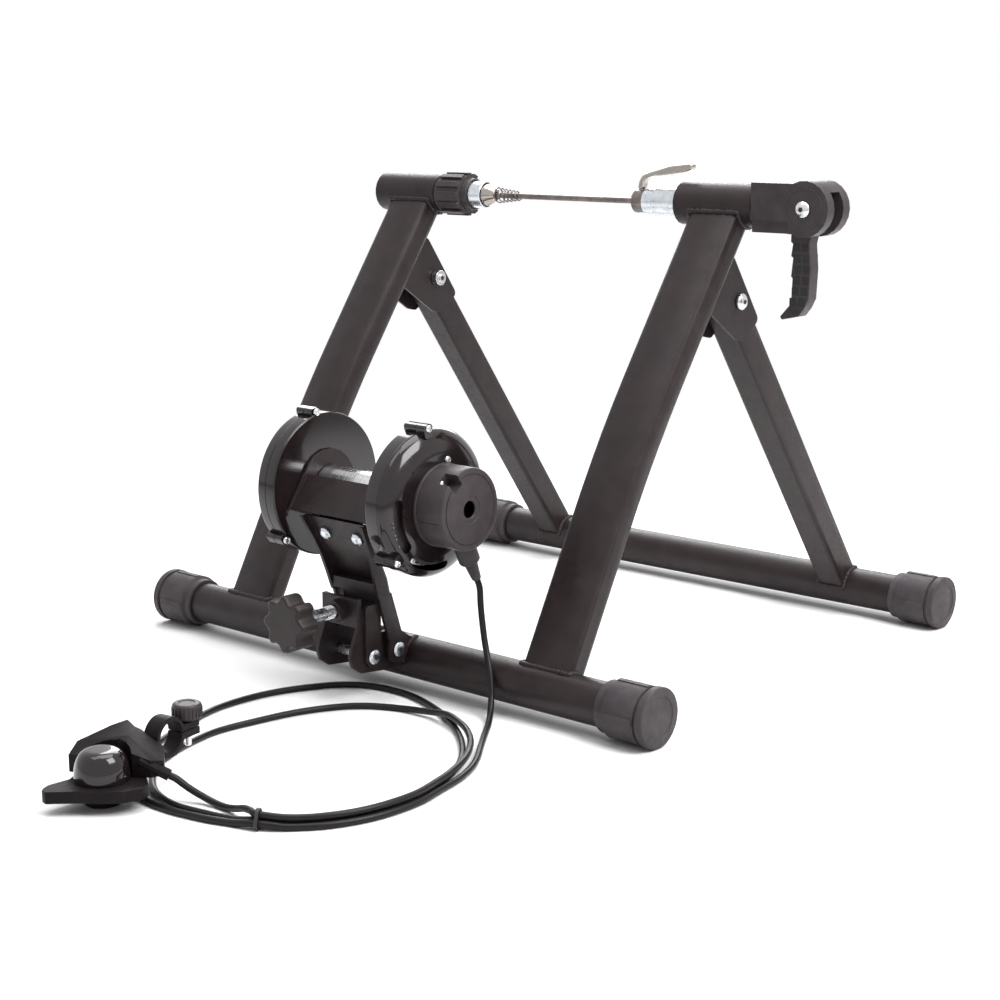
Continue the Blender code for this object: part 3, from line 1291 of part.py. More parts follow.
def thumb_lever(plastic):
    outline = THUMB_OUTLINE + arc(THUMB_PIVOT, THUMB_HUB, 42, 180, 7)
    lever = in_shifter(prism(rounded(outline, 0.0015, 2), "Z", THUMB_LOW, THUMB_HIGH))
    body = add("thumb_lever", lever, plastic, THUMB_AXIS)
    foot = [(GAP, 0), (GAP, THUMB_FOOT_RADIUS), (THUMB_LOW + 0.001, THUMB_BOSS_RADIUS), (THUMB_LOW + 0.001, 0)]
    centre = (*THUMB_PIVOT, 0)
    join(body, in_shifter(turned(foot, centre, UP)))
    cut(body, in_shifter(rod(-THUMB_HIGH, 2 * THUMB_HIGH, THUMB_BORE, centre, UP, BOLT_SIDES, True)))


def shifter_cap(gloss):
    profile = [
        (DOME_PIN_END, 0),
        (DOME_PIN_END, THUMB_BORE - SLIDE),
        (CASE_LOW, THUMB_BORE - SLIDE),
        (CASE_LOW, DOME_RADIUS),
        (CASE_LOW + 0.30 * DOME_HEIGHT, 0.976 * DOME_RADIUS),
        (CASE_LOW + 0.59 * DOME_HEIGHT, 0.853 * DOME_RADIUS),
        (CASE_LOW + 0.83 * DOME_HEIGHT, 0.62 * DOME_RADIUS),
        (CASE_LOW + 0.96 * DOME_HEIGHT, 0.30 * DOME_RADIUS),
        (CASE_LOW + DOME_HEIGHT, 0),
    ]
    add("shifter_cap", in_shifter(turned(profile, (*THUMB_PIVOT, 0), UP)), gloss)


def shifter_body(plastic):
    top = [
        (-0.028, 0.033, 0.030),
        (-0.024, 0.044, 0.036),
        (-0.002, 0.054, 0.044),
        (0.008, 0.060, 0.046),
        (0.014, 0.054, 0.043),
        (0.022, 0.052, 0.040),
        (0.036, 0.040, 0.033),
        (0.038, 0.026, 0.028),
        (0.030, 0.020, 0.030),
        (0.014, 0.024, 0.035),
        (-0.003, 0.034, 0.038),
        (-0.020, 0.030, 0.031),
    ]
    bottom = [Vector((x, y, CASE_LOW)) for x, y, z in top]
    peak = Vector((0.012, 0.041, 0.041))
    shape = skin([bottom, [Vector(point) for point in top], [peak]])
    body = add("shifter_body", in_shifter(shape), plastic)
    centre = (*THUMB_PIVOT, 0)
    cut(body, in_shifter(rod(0, 4 * CASE_LOW, DOME_RADIUS + 0.0006, centre, UP, SIDES, True)))
    opened = CLAMP_HINGE * (1 - math.cos(STRAP_TURN)) * -1
    raised = CLAMP_HINGE * math.sin(STRAP_TURN)
    for out, high in ((0, 0), (opened, raised)):
        middle = clamp_place(out, high, 0)
        cut(body, in_shifter(rod(-0.08, 0.08, CLAMP_RADIUS + GAP, middle, CLAMP_ALONG, SIDES, True)))
    run = Vector(BARREL_END) - Vector(BARREL_START)
    barrel = [
        (0, 0),
        (0, BARREL_RADIUS),
        (0.6 * run.length, BARREL_RADIUS),
        (0.6 * run.length, BARREL_RADIUS - 0.0005),
        (0.7 * run.length, BARREL_RADIUS - 0.0005),
        (0.7 * run.length, BARREL_RADIUS),
        (run.length, BARREL_RADIUS),
        (run.length, 0),
    ]
    join(body, in_shifter(turned(barrel, BARREL_START, run, BOLT_SIDES)))


def clamp_half(side):
    """Outline of half the ring with its lug, below the split for side -1 and above it for 1."""
    split = CLAMP_SPLIT
    deep = split + LUG_THICK
    outer = math.degrees(math.asin(split / CLAMP_RADIUS))
    inner = math.degrees(math.asin(split / CLAMP_BORE))
    lug = math.degrees(math.asin(deep / CLAMP_RADIUS))
    points = arc((0, 0), CLAMP_RADIUS, 180 - outer, lug, 12)
    points += [(LUG_END, deep), (LUG_END, split)]
    points += arc((0, 0), round_bore(CLAMP_BORE), inner, 180 - inner, 12)
    return [(out, side * high) for out, high in points]


def handlebar_clamp(plastic, steel):
    half = CLAMP_WIDTH / 2
    ring = add("handlebar_clamp", in_shifter(prism(clamp_half(-1), clamp_place, -half, half)), plastic)
    hinge = SHIFTER @ clamp_place(-CLAMP_HINGE, 0, 0)
    strap = add("clamp_strap", in_shifter(prism(clamp_half(1), clamp_place, -half, half)), plastic, hinge)
    centre = clamp_place(THUMB_SCREW_AT, 0, 0)
    reach = LUG_THICK * 3
    cut(ring, in_shifter(rod(-reach, 0, THUMB_SCREW_RADIUS + HOLE_SLACK, centre, UP, BOLT_SIDES, True)))
    cut(strap, in_shifter(rod(0, reach, THUMB_SCREW_RADIUS + STRAP_HOLE_SLACK, centre, UP, BOLT_SIDES, True)))

    low = CLAMP_SPLIT + LUG_THICK + GAP
    profile = [
        (THUMB_SCREW_END, 0),
        (THUMB_SCREW_END, THUMB_SCREW_RADIUS),
        (low, THUMB_SCREW_RADIUS),
        (low, 0.75 * THUMB_CAP_RADIUS),
        (low + 0.0016, THUMB_CAP_RADIUS),
        (low + THUMB_CAP_HEIGHT - 0.0016, THUMB_CAP_RADIUS),
        (low + THUMB_CAP_HEIGHT, 0.82 * THUMB_CAP_RADIUS),
        (low + THUMB_CAP_HEIGHT, 0),
    ]
    screw = in_shifter(turned(profile, centre, UP))
    add("clamp_screw", screw, steel, SHIFTER @ centre)


def smooth(points, steps):
    """Points on a Catmull-Rom curve through the route, with the same number in each span."""
    route = [Vector(point) for point in points]
    ends = [route[0] * 2 - route[1], *route, route[-1] * 2 - route[-2]]
    result = []
    for before, start, end, after in zip(ends, ends[1:], ends[2:], ends[3:]):
        for k in range(steps):
            t = k / steps
            result.append(0.5 * (
                2 * start
                + (end - before) * t
                + (2 * before - 5 * start + 4 * end - after) * t ** 2
                + (3 * start - before - 3 * end + after) * t ** 3
            ))
    return result + [route[-1]]


def on_floor(points):
    return [(x, y, CABLE_LIE) for x, y in points]


def cable(rubber, plastic):
    """The cable from the boot to the floor, its loops there, and the tie that holds them."""
    straight = 2 * CABLE_RADIUS
    boot_end = Vector((BOOT_X, BOOT_END_Y, BOOT_END_Z))
    boot_run = (boot_end - Vector((BOOT_X, BOOT_TOP_Y, BOOT_TOP_Z))).normalized()
    meet = Vector((*CABLE_MEET, CABLE_LIE))
    meet_run = Vector((*CABLE_MEET_RUN, 0)).normalized()
    drop = [
        boot_end + boot_run * GAP,
        boot_end + boot_run * (GAP + straight),
        (0.1058, -0.0066, 0.0690),
        (0.1074, -0.0078, 0.0590),
        (0.1104, -0.0095, 0.0470),
        (0.1143, -0.0115, 0.0340),
        (0.1195, -0.0142, 0.0220),
        (0.1255, -0.0180, 0.0110),
        (0.1300, -0.0215, 0.0000),
        (0.1340, -0.0260, -0.0100),
        (0.1395, -0.0335, -0.0172),
        *on_floor([(0.149, -0.047), (0.162, -0.066), (0.174, -0.083)]),
        meet - meet_run * (GAP / 2 + straight),
        meet - meet_run * (GAP / 2),
    ]
    route = [Vector((point.x, point.y, max(point.z, CABLE_LIE))) for point in smooth(drop, 2)]
    wire("cable_drop", route, CABLE_RADIUS, 2, rubber)

    barrel_end = SHIFTER @ Vector(BARREL_END)
    barrel_run = (barrel_end - SHIFTER @ Vector(BARREL_START)).normalized()
    tie = Vector((*TIE_AT, 0))
    tie_side = Vector((*TIE_SIDE, 0)).normalized()
    low = Vector((0, 0, TIE_THICK + TIE_SLACK + 0.0001 + CABLE_RADIUS - CAP_RADIUS))
    high = low + UP * TIE_STEP
    on_top = CABLE_LIE + TIE_STEP
    loops = [
        meet + meet_run * (GAP / 2),
        meet + meet_run * (GAP / 2 + straight),
        *on_floor([
            (0.1960, -0.1150), (0.2080, -0.1430), (0.2138, -0.1704), (0.2189, -0.2000), (0.2158, -0.2347),
            (0.2043, -0.2638), (0.1871, -0.2851),
        ]),
        tie + tie_side * TIE_SPREAD + low,
        *on_floor([
            (0.1506, -0.3058), (0.1310, -0.3120), (0.1010, -0.3170), (0.0760, -0.3150), (0.0520, -0.3060),
            (0.0270, -0.2880), (0.0050, -0.2600), (-0.0110, -0.2300), (-0.0240, -0.1980), (-0.0340, -0.1700),
            (-0.0390, -0.1430), (-0.0370, -0.1080), (-0.0260, -0.0740), (-0.0080, -0.0460), (0.0180, -0.0320),
            (0.0540, -0.0310), (0.0940, -0.0440), (0.1280, -0.0630), (0.1580, -0.0870), (0.1830, -0.1150),
            (0.2000, -0.1460), (0.2076, -0.1716), (0.2130, -0.2000), (0.2100, -0.2333), (0.1992, -0.2600),
            (0.1825, -0.2807),
        ]),
        tie - tie_side * TIE_SPREAD + low,
        *on_floor([
            (0.1494, -0.3000), (0.1260, -0.3055), (0.0980, -0.3090), (0.0690, -0.3010), (0.0450, -0.2840),
            (0.0270, -0.2660), (0.0200, -0.2500), (0.0130, -0.2330), (0.0080, -0.2150), (0.0040, -0.1890),
            (0.0080, -0.1570), (0.0180, -0.1150), (0.0380, -0.0800), (0.0680, -0.0610),
        ]),
        (0.1000, -0.0570, -0.0182),
        (0.1180, -0.0600, -0.0152),
        (0.1320, -0.0650, -0.0148),
        (0.1540, -0.0770, -0.0148),
        (0.1760, -0.0970, -0.0150),
        (0.1940, -0.1230, -0.0152),
        (0.2050, -0.1500, on_top),
        (0.2108, -0.1710, on_top),
        (0.2160, -0.2000, on_top),
        (0.2129, -0.2340, on_top),
        (0.2018, -0.2620, on_top),
        (0.1848, -0.2829, on_top),
        tie + high,
        (0.1590, -0.2945, -0.0138),
        (0.1500, -0.2922, -0.0152),
        (0.1395, -0.2902, -0.0185),
        (0.1280, -0.2893, CABLE_LIE),
        (0.1165, -0.2895, -0.0202),
        (0.1065, -0.2912, -0.0177),
        (0.0980, -0.2955, -0.0128),
        barrel_end + barrel_run * (GAP + straight),
        barrel_end + barrel_run * GAP,
    ]
    points = smooth(loops, 1)
    print(f"cable_loops: least gap to itself {1000 * least_gap(points, CABLE_RADIUS):.2f} mm")
    wire("cable_loops", points, CABLE_RADIUS, 1, rubber)

    along = tie_side.cross(UP)

    def across_tie(out, height, depth):
        return Vector((*TIE_AT, 0)) + tie_side * out + UP * height + along * depth

    centres = [(TIE_SPREAD, low.z), (-TIE_SPREAD, low.z), (0, high.z)]
    inside = hull([p for centre in centres for p in arc(centre, CABLE_RADIUS + TIE_SLACK, 0, 330, 11)])
    outside = hull([p for centre in centres for p in arc(centre, CABLE_RADIUS + TIE_SLACK + TIE_THICK, 0, 330, 11)])
    band = add("cable_tie", prism(outside, across_tie, -TIE_WIDTH / 2, TIE_WIDTH / 2), plastic)
    cut(band, prism(inside, across_tie, -TIE_WIDTH, TIE_WIDTH))


def main():
    clear_scene()
    root = bpy.data.objects.new("trainer", None)
    bpy.context.scene.collection.objects.link(root)
    front = min((SHIFTER @ Vector((*point, 0))).y for point in THUMB_OUTLINE)
    rear = TUBE_SPACING + CAP_RADIUS / math.cos(math.pi / CAP_SIDES)
    root.location = (0, -(front + rear) / 2, CAP_RADIUS)

    frame_paint = material("frame_black", (0.030, 0.028, 0.026), 0.42, 0.0)
    gloss = material("gloss_black", (0.012, 0.012, 0.014), 0.12, 0.0)
    satin = material("satin_black", (0.028, 0.028, 0.030), 0.45, 0.0)
    rubber = material("cap_rubber", (0.045, 0.043, 0.042), 0.70, 0.0)
    shifter_grey = material("shifter_grey", (0.060, 0.062, 0.066), 0.50, 0.0)
    cable_black = material("cable_black", (0.020, 0.020, 0.021), 0.40, 0.0)
    zinc = material("zinc_plate", (0.62, 0.65, 0.69), 0.28, 1.0)
    steel = material("bright_steel", (0.70, 0.70, 0.71), 0.25, 1.0)
    chrome = material("chrome", (0.82, 0.83, 0.85), 0.08, 1.0)
    iron = material("flywheel_iron", (0.30, 0.30, 0.31), 0.45, 1.0)
    alloy = material("brake_alloy", (0.75, 0.75, 0.77), 0.30, 1.0)
    magnet = material("magnet_grey", (0.18, 0.18, 0.19), 0.50, 0.6)

    floor_tubes(frame_paint)
    foot_caps(rubber)
    main_legs(frame_paint)
    rear_legs(frame_paint)
    hinge_brackets(frame_paint, steel)
    axle_tubes(frame_paint)
    fixed_cone(zinc, steel, satin)
    skewer(steel, chrome)
    sliding_spindle(zinc, steel)
    cam_housing(satin, steel)
    clamp_lever(satin)
    roller_and_bearings(steel, steel)
    roller_cradle(frame_paint)
    cradle_bolts(zinc)
    flywheel(iron)
    brake(alloy, satin, magnet)
    housings(gloss)
    hub_cover_and_boot(satin, rubber)
    arm_bracket(frame_paint)
    clevis(frame_paint)
    swing_link(frame_paint)
    pivot_bolts(zinc)
    tension_screw_and_knob(zinc, gloss)
    thumb_lever(shifter_grey)
    shifter_cap(gloss)
    shifter_body(shifter_grey)
    handlebar_clamp(shifter_grey, satin)
    cable(cable_black, satin)


main()
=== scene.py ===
import json
import math

import bmesh
import bpy
from bpy.props import FloatProperty, FloatVectorProperty, IntProperty, PointerProperty
from mathutils import Matrix, Vector


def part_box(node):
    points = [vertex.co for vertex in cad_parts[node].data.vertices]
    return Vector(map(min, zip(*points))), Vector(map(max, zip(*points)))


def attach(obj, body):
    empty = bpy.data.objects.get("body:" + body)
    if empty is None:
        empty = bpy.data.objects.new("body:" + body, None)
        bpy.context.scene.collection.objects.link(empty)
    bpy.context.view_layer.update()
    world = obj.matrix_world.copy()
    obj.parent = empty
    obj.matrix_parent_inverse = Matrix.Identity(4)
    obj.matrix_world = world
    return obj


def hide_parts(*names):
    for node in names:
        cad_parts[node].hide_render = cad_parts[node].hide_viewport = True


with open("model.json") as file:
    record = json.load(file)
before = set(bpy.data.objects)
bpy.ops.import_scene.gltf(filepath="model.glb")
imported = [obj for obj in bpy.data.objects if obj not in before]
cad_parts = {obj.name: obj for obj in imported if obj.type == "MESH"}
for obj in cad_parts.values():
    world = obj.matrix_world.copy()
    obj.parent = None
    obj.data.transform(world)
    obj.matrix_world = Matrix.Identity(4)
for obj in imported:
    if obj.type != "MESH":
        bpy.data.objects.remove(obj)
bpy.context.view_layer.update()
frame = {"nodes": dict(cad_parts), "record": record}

bl_info = {
    "name": "Bike Trainer Finish",
    "version": (1, 0, 0),
    "blender": (4, 5, 0),
    "location": "View3D > Sidebar > Trainer",
    "description": "Dresses the magnetic bike trainer with its finished surfaces, welds, screws and cable",
    "category": "Object",
}

# Slot and body of each node
SLOT_OF = {part["node"]: part["material_slot"] for part in frame["record"]["subparts"]}
BODY_OF = {node: name for name, nodes in frame["record"]["behaviour"]["bodies"].items() for node in nodes}


def middle_of(node):
    low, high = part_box(node)
    return (low + high) / 2


def line_of(node):
    """Where the middle line of a piece that lies along X crosses the middle of the trainer."""
    return Vector((0, *middle_of(node).yz))


# Lines of the tubes and the roller's middle, and the legs' knee, fold, place on X and sections, in metres
TUBE_LOW, TUBE_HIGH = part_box("front_floor_tube")
TUBE_RADIUS = (TUBE_HIGH.y - TUBE_LOW.y) / 2
FRONT_TUBE = line_of("front_floor_tube")
REAR_TUBE = line_of("rear_floor_tube")
AXLE = line_of("axle_tube_left")
ROLLER = middle_of("roller")
KNEE = FRONT_TUBE + Vector((0, 0.093, 0.171))
FOLD = FRONT_TUBE + Vector((0, 0.224, 0.2795))
LEG_X = 0.168
MAIN_LEG = (0.047, 0.0212)
REAR_LEG = (0.026, 0.026)

# Foot caps, with the thickness of the floor and a rib's length, width and height
CAP_LENGTH = 0.046
CAP_RADIUS = 0.0234
CAP_SKIN = 0.0226
CAP_FLOOR = 0.005
CAP_RIB = (0.0279, 0.0052, 0.0016)

# Drums of the resistance unit, measured along X from the roller's middle
DRUM_RADIUS = 0.058
DRUM_WALL = 0.002
DRUM_START = 0.0499
FLYWHEEL_DRUM = 0.0188
MAGNET_DRUM = 0.0256
INNER_LEFT = 0.0096
INNER_RIGHT = 0.0129
SHAFT_HOLE = 0.0173
STEM_HOLE = 0.0103
ROUND_EDGE = 0.0016
COVER_RADIUS = 0.0325
COVER_LENGTH = 0.029

# Shoulder of the magnet drum's outer half: depth below its face, distance in from its rim
SHOULDER = [
    (0.0, 0.0200), (0.0001, 0.0180), (0.0005, 0.0150), (0.0010, 0.0125), (0.0018, 0.0100), (0.0028, 0.0076),
    (0.0040, 0.0055), (0.0054, 0.0035), (0.0070, 0.0020), (0.0087, 0.0009), (0.0105, 0.0)]
SHOULDER_INSIDE = [
    (0.0109, 0.0020), (0.0084, 0.0038), (0.0057, 0.0070), (0.0037, 0.0111), (0.0025, 0.0158),
    (0.0020, 0.0204)]

# Screw posts along the drums' rims
POST_RISE = 0.0055
POST_WIDTH = 0.0090
POST_ROUND = 0.0026
POST_INSET = 0.0008
POST_INSET_DOMED = 0.0035
POST_ROOT_DOMED = 0.003
POST_ANGLES = (100, 220, 340)
POST_SCREWS = 0.0602

# Slots of the magnet drum's face as radius, width and start and end angle, how far they are cut below and
# above it, and the places of the small screws on it
DRUM_SLOTS = [(0.0465, 0.0078, 172, 217), (0.0485, 0.0066, 234, 276)]
SLOT_CUT = (0.012, 0.002)
SMALL_SCREWS = [(-0.0270, -0.0400, 0.0690), (0.0070, 0.0338, 0.0752), (-0.0185, 0.0206, 0.0930)]
SEAM = 0.0003

# The cable's radius, the height of its middle on the floor, and where it leaves the boot
CABLE_RADIUS = 0.0025
CABLE_LIE = 0.0026

# Sizes of the drops in a weld bead against the even one, and the seed of their order
DROP_SIZES = (0.82, 1.08)
DROP_SEED = 7

# Angles in degrees past which an edge stays sharp and under which two faces are one, and the distance in
# metres under which two points are one
SHARP = 32
FLAT = 0.4
MERGE = 1e-6

# The photograph's camera
CAMERA_PLACE = (1.0447, -1.1117, 0.4629)
CAMERA_TURN = (77.47, 0.14, 41.36)
CAMERA_LENS = 68.2
CAMERA_SHIFT = (0.0207, 0.0216)
SENSOR = 36.0

# Lamps as name, place, size and power, the point that they aim at, the strength of the world's glow on the
# object, and the distances from the middle between which the floor fades to white
LAMPS = [
    ("key", (-0.3, -0.9, 2.2), 1.0, 9.0),
    ("side", (1.35, 0.15, 1.45), 1.0, 34.0),
    ("top", (0.1, 0.3, 2.4), 1.6, 36.0),
    ("back", (-1.2, 1.5, 1.3), 1.5, 40.0),
]
LAMP_AIM = (0, 0, 0.15)
GLOW = 0.34
FLOOR_HALF = 6.0
FLOOR_FADE = (0.55, 1.15)

X, Y, Z = Vector((1, 0, 0)), Vector((0, 1, 0)), Vector((0, 0, 1))


class TrainerSizes(bpy.types.PropertyGroup):
    edge: FloatProperty(
        name="Edge rounding", description="Rounding of the stamped and moulded edges",
        default=0.0006, min=0.0, unit="LENGTH")
    weld: FloatProperty(
        name="Weld radius", description="Half the width of a weld bead",
        default=0.0025, min=0.0005, unit="LENGTH")
    weld_step: FloatProperty(
        name="Weld ripple", description="Distance between the ripples of a weld bead",
        default=0.0017, min=0.0005, unit="LENGTH")
    screw: FloatProperty(
        name="Case screw", description="Head radius of the screws that hold the drums together",
        default=0.0030, min=0.001, unit="LENGTH")
    round_steps: IntProperty(
        name="Round steps", description="Sides of the drums, caps and other large round pieces",
        default=96, min=24)
    grip_rows: IntProperty(
        name="Grip rows", description="Rows of dark cells on the clamp lever", default=6, min=1)
    cap_ribs: IntProperty(
        name="Cap ribs", description="Ribs along each foot cap", default=4, min=1)
    knurls: IntProperty(
        name="Knurls", description="Ribs round the thumb screw of the handlebar clamp", default=24, min=6)


class TrainerColours(bpy.types.PropertyGroup):
    frame: FloatVectorProperty(
        name="Frame", description="Powder coat of the tubes, brackets and knob", subtype="COLOR",
        default=(0.0160, 0.0100, 0.0108))
    drum: FloatVectorProperty(
        name="Drums", description="Polished plastic of the drums and the shifter's dome", subtype="COLOR",
        default=(0.0100, 0.0060, 0.0066))
    satin: FloatVectorProperty(
        name="Satin plastic", subtype="COLOR",
        description="Grained plastic of the cable cover, lock ring, cam housing and lever",
        default=(0.036, 0.0285, 0.0305))
    caps: FloatVectorProperty(
        name="Foot caps", description="Rubber of the foot caps and the cable boot", subtype="COLOR",
        default=(0.042, 0.0350, 0.0385))
    shifter: FloatVectorProperty(
        name="Shifter", description="Plastic of the shifter and its clamp", subtype="COLOR",
        default=(0.0100, 0.0075, 0.0088))
    zinc: FloatVectorProperty(
        name="Zinc", description="Zinc plating of the clamp cones and bolts", subtype="COLOR",
        default=(0.62, 0.65, 0.69))
    floor: FloatVectorProperty(
        name="Floor", description="Paper of the floor", subtype="COLOR",
        default=(0.93, 0.93, 0.93))


def sizes():
    return bpy.context.scene.trainer_sizes


def colours():
    return bpy.context.scene.trainer_colours


# Shader building


def fill(node, values):
    """Sets a node's inputs by their names, with underscores for spaces."""
    for key, value in values.items():
        node.inputs[key.replace("_", " ")].default_value = value


class Shader:
    """A material's node tree with short calls for the nodes that these finishes use."""

    def __init__(self, name):
        self.material = bpy.data.materials.new(name)
        self.material.use_nodes = True
        self.nodes = self.material.node_tree.nodes
        self.links = self.material.node_tree.links
        self.main = self.nodes["Principled BSDF"]
        self.coordinates = self.nodes.new("ShaderNodeTexCoord").outputs["Object"]

    def set(self, **values):
        fill(self.main, values)

    def add(self, kind, **values):
        node = self.nodes.new(kind)
        fill(node, values)
        return node

    def pattern(self, kind, place, output="Fac", **values):
        node = self.add(kind, **values)
        self.links.new(place, node.inputs["Vector"])
        return node.outputs[output]

    def noise(self, scale, detail, rough=0.5, along=(1, 1, 1)):
        place = self.pattern("ShaderNodeMapping", self.coordinates, "Vector", Scale=along)
        return self.pattern("ShaderNodeTexNoise", place, Scale=scale, Detail=detail, Roughness=rough)

    def grain(self, scale):
        return self.pattern("ShaderNodeTexVoronoi", self.coordinates, "Distance", Scale=scale)

    def rings(self, scale):
        return self.pattern("ShaderNodeTexWave", self.coordinates, Scale=scale, Distortion=0.6, Detail=2.0)

    def spread(self, source, low, high, start=0.3, end=0.7):
        """The source from start to end as a value from low to high."""
        node = self.add("ShaderNodeMapRange", From_Min=start, From_Max=end, To_Min=low, To_Max=high)
        self.links.new(source, node.inputs["Value"])
        return node.outputs["Result"]

    def tint(self, source, dark, light):
        ramp = self.nodes.new("ShaderNodeValToRGB")
        stops = zip(ramp.color_ramp.elements, (0.32, 0.68), (dark, light))
        for stop, position, colour in stops:
            stop.position = position
            stop.color = (*colour, 1)
        self.links.new(source, ramp.inputs["Fac"])
        self.links.new(ramp.outputs["Color"], self.main.inputs["Base Color"])

    def rough(self, source, low, high):
        self.links.new(self.spread(source, low, high), self.main.inputs["Roughness"])

    def relief(self, layers):
        """Bumps laid over each other, from (pattern, its settings, strength, depth in metres) rows."""
        normal = None
        for pattern, settings, strength, depth in layers:
            bump = self.add("ShaderNodeBump", Strength=strength, Distance=depth)
            self.links.new(pattern(self, *settings), bump.inputs["Height"])
            if normal:
                self.links.new(normal, bump.inputs["Normal"])
            normal = bump.outputs["Normal"]
        self.links.new(normal, self.main.inputs["Normal"])


def shade(colour, factor):
    return tuple(min(1.0, channel * factor) for channel in colour)


NOISE, GRAIN, RINGS = Shader.noise, Shader.grain, Shader.rings


def coat(name, base, mottle, shades, wear, rough, relief, **values):
    """A finish: its colour between two shades by the mottle, its roughness by the wear, and its relief."""
    shader = Shader(name)
    dark, light = shades
    shader.tint(shader.noise(*mottle), shade(base, dark), shade(base, light))
    shader.rough(shader.noise(*wear), *rough)
    shader.relief(relief)
    shader.set(**values)
    return shader.material


def powder_coat():
    return coat(
        "frame_black", colours().frame, mottle=(55, 4), shades=(0.78, 1.32), wear=(320, 3),
        rough=(0.34, 0.50), relief=[(NOISE, (1500, 2), 0.22, 0.00012), (NOISE, (140, 2), 0.10, 0.0004)],
        Specular_IOR_Level=0.28)


def drum_gloss():
    return coat(
        "gloss_black", colours().drum, mottle=(30, 3), shades=(0.85, 1.25), wear=(90, 4), rough=(0.10, 0.20),
        relief=[(NOISE, (60, 2), 0.05, 0.0006), (NOISE, (900, 2), 0.03, 0.0001)],
        Coat_Weight=0.42, Coat_Roughness=0.05, Specular_IOR_Level=0.3)


def satin_plastic(name, base, rough, shine):
    return coat(
        name, base, mottle=(70, 3), shades=(0.82, 1.25), wear=(260, 3), rough=rough,
        relief=[(GRAIN, (1700,), 0.14, 0.0001), (NOISE, (120, 2), 0.05, 0.0003)], Specular_IOR_Level=shine)


def cap_rubber():
    return coat(
        "cap_rubber", colours().caps, mottle=(45, 5, 0.6), shades=(0.75, 1.35), wear=(200, 4),
        rough=(0.50, 0.68), relief=[(GRAIN, (1300,), 0.20, 0.00015), (NOISE, (60, 3), 0.08, 0.0005)],
        Specular_IOR_Level=0.3)


def cable_jacket():
    return coat(
        "cable_black", (0.0070, 0.0058, 0.0060), mottle=(25, 3), shades=(0.8, 1.4), wear=(400, 2),
        rough=(0.30, 0.42), relief=[(NOISE, (800, 2), 0.10, 0.0001)], Specular_IOR_Level=0.22)


def zinc_plate():
    return coat(
        "zinc_plate", colours().zinc, mottle=(120, 4, 0.6), shades=(0.84, 1.12), wear=(260, 3),
        rough=(0.20, 0.34), relief=[(NOISE, (500, 3), 0.06, 0.0001)], Metallic=1.0)


def drawn_steel():
    return coat(
        "bright_steel", (0.70, 0.70, 0.71), mottle=(14, 4, 0.6, (30, 1, 1)), shades=(0.82, 1.10),
        wear=(90, 3, 0.5, (12, 1, 1)), rough=(0.16, 0.30),
        relief=[(NOISE, (60, 2, 0.5, (20, 1, 1)), 0.03, 0.0001)], Metallic=1.0)


def chrome_plate():
    return coat(
        "chrome", (0.40, 0.365, 0.335), mottle=(80, 3), shades=(0.95, 1.04), wear=(120, 3),
        rough=(0.12, 0.22), relief=[(NOISE, (70, 2), 0.04, 0.0004)], Metallic=1.0)


def turned_iron():
    return coat(
        "flywheel_iron", (0.30, 0.30, 0.31), mottle=(160, 5, 0.6), shades=(0.7, 1.2), wear=(200, 3),
        rough=(0.36, 0.52), relief=[(NOISE, (900, 4), 0.25, 0.0002)], Metallic=1.0)


def turned_alloy():
    return coat(
        "brake_alloy", (0.75, 0.75, 0.77), mottle=(60, 3), shades=(0.88, 1.08), wear=(140, 3),
        rough=(0.24, 0.36), relief=[(RINGS, (500,), 0.10, 0.0001)], Metallic=1.0)


def dark_steel():
    return coat(
        "dark_steel", (0.17, 0.145, 0.14), mottle=(90, 3), shades=(0.75, 1.2), wear=(160, 3),
        rough=(0.30, 0.42), relief=[(NOISE, (300, 2), 0.08, 0.0001)], Metallic=1.0)


# Painted shade: a flat near-black that stands in for the shade inside the lever's grip cells and the bolts'
# sockets
def painted_shade_finish():
    return coat(
        "painted_shade_black", (0.006, 0.006, 0.006), mottle=(80, 2), shades=(0.7, 1.3), wear=(100, 2),
        rough=(0.55, 0.7), relief=[(NOISE, (500, 2), 0.1, 0.0001)])


def make_materials():
    palette = colours()
    return {
        "frame_black": powder_coat(),
        "gloss_black": drum_gloss(),
        "satin_black": satin_plastic("satin_black", palette.satin, (0.36, 0.50), 0.3),
        "shifter_grey": satin_plastic("shifter_grey", palette.shifter, (0.38, 0.52), 0.1),
        "cap_rubber": cap_rubber(),
        "cable_black": cable_jacket(),
        "zinc_plate": zinc_plate(),
        "bright_steel": drawn_steel(),
        "chrome": chrome_plate(),
        "flywheel_iron": turned_iron(),
        "brake_alloy": turned_alloy(),
        # painted shade for the grip cells and the bolt sockets
        "painted_shade_black": painted_shade_finish(),
        "dark_steel": dark_steel(),
    }


FINISH = {}


def finish_of(slot):
    if not FINISH:
        FINISH.update(make_materials())
    return FINISH[slot]


# Mesh building


def shown(name, data):
    """A new object in the scene."""
    obj = bpy.data.objects.new(name, data)
    bpy.context.scene.collection.objects.link(obj)
    return obj


def grown(shape, name, slot):
    """An object of this shape with its finish, its faces pointing out and its round faces smooth."""
    bmesh.ops.remove_doubles(shape, verts=shape.verts, dist=MERGE)
    bmesh.ops.recalc_face_normals(shape, faces=shape.faces)
    mesh = bpy.data.meshes.new(name)
    shape.to_mesh(mesh)
    shape.free()
    mesh.shade_smooth()
    mesh.set_sharp_from_angle(angle=math.radians(SHARP))
    mesh.materials.append(finish_of(slot))
    return shown(name, mesh)


def settled(obj, body, replaced=()):
    """The piece stands for its nodes and rides on its body."""
    if replaced:
        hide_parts(*replaced)
    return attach(obj, body)


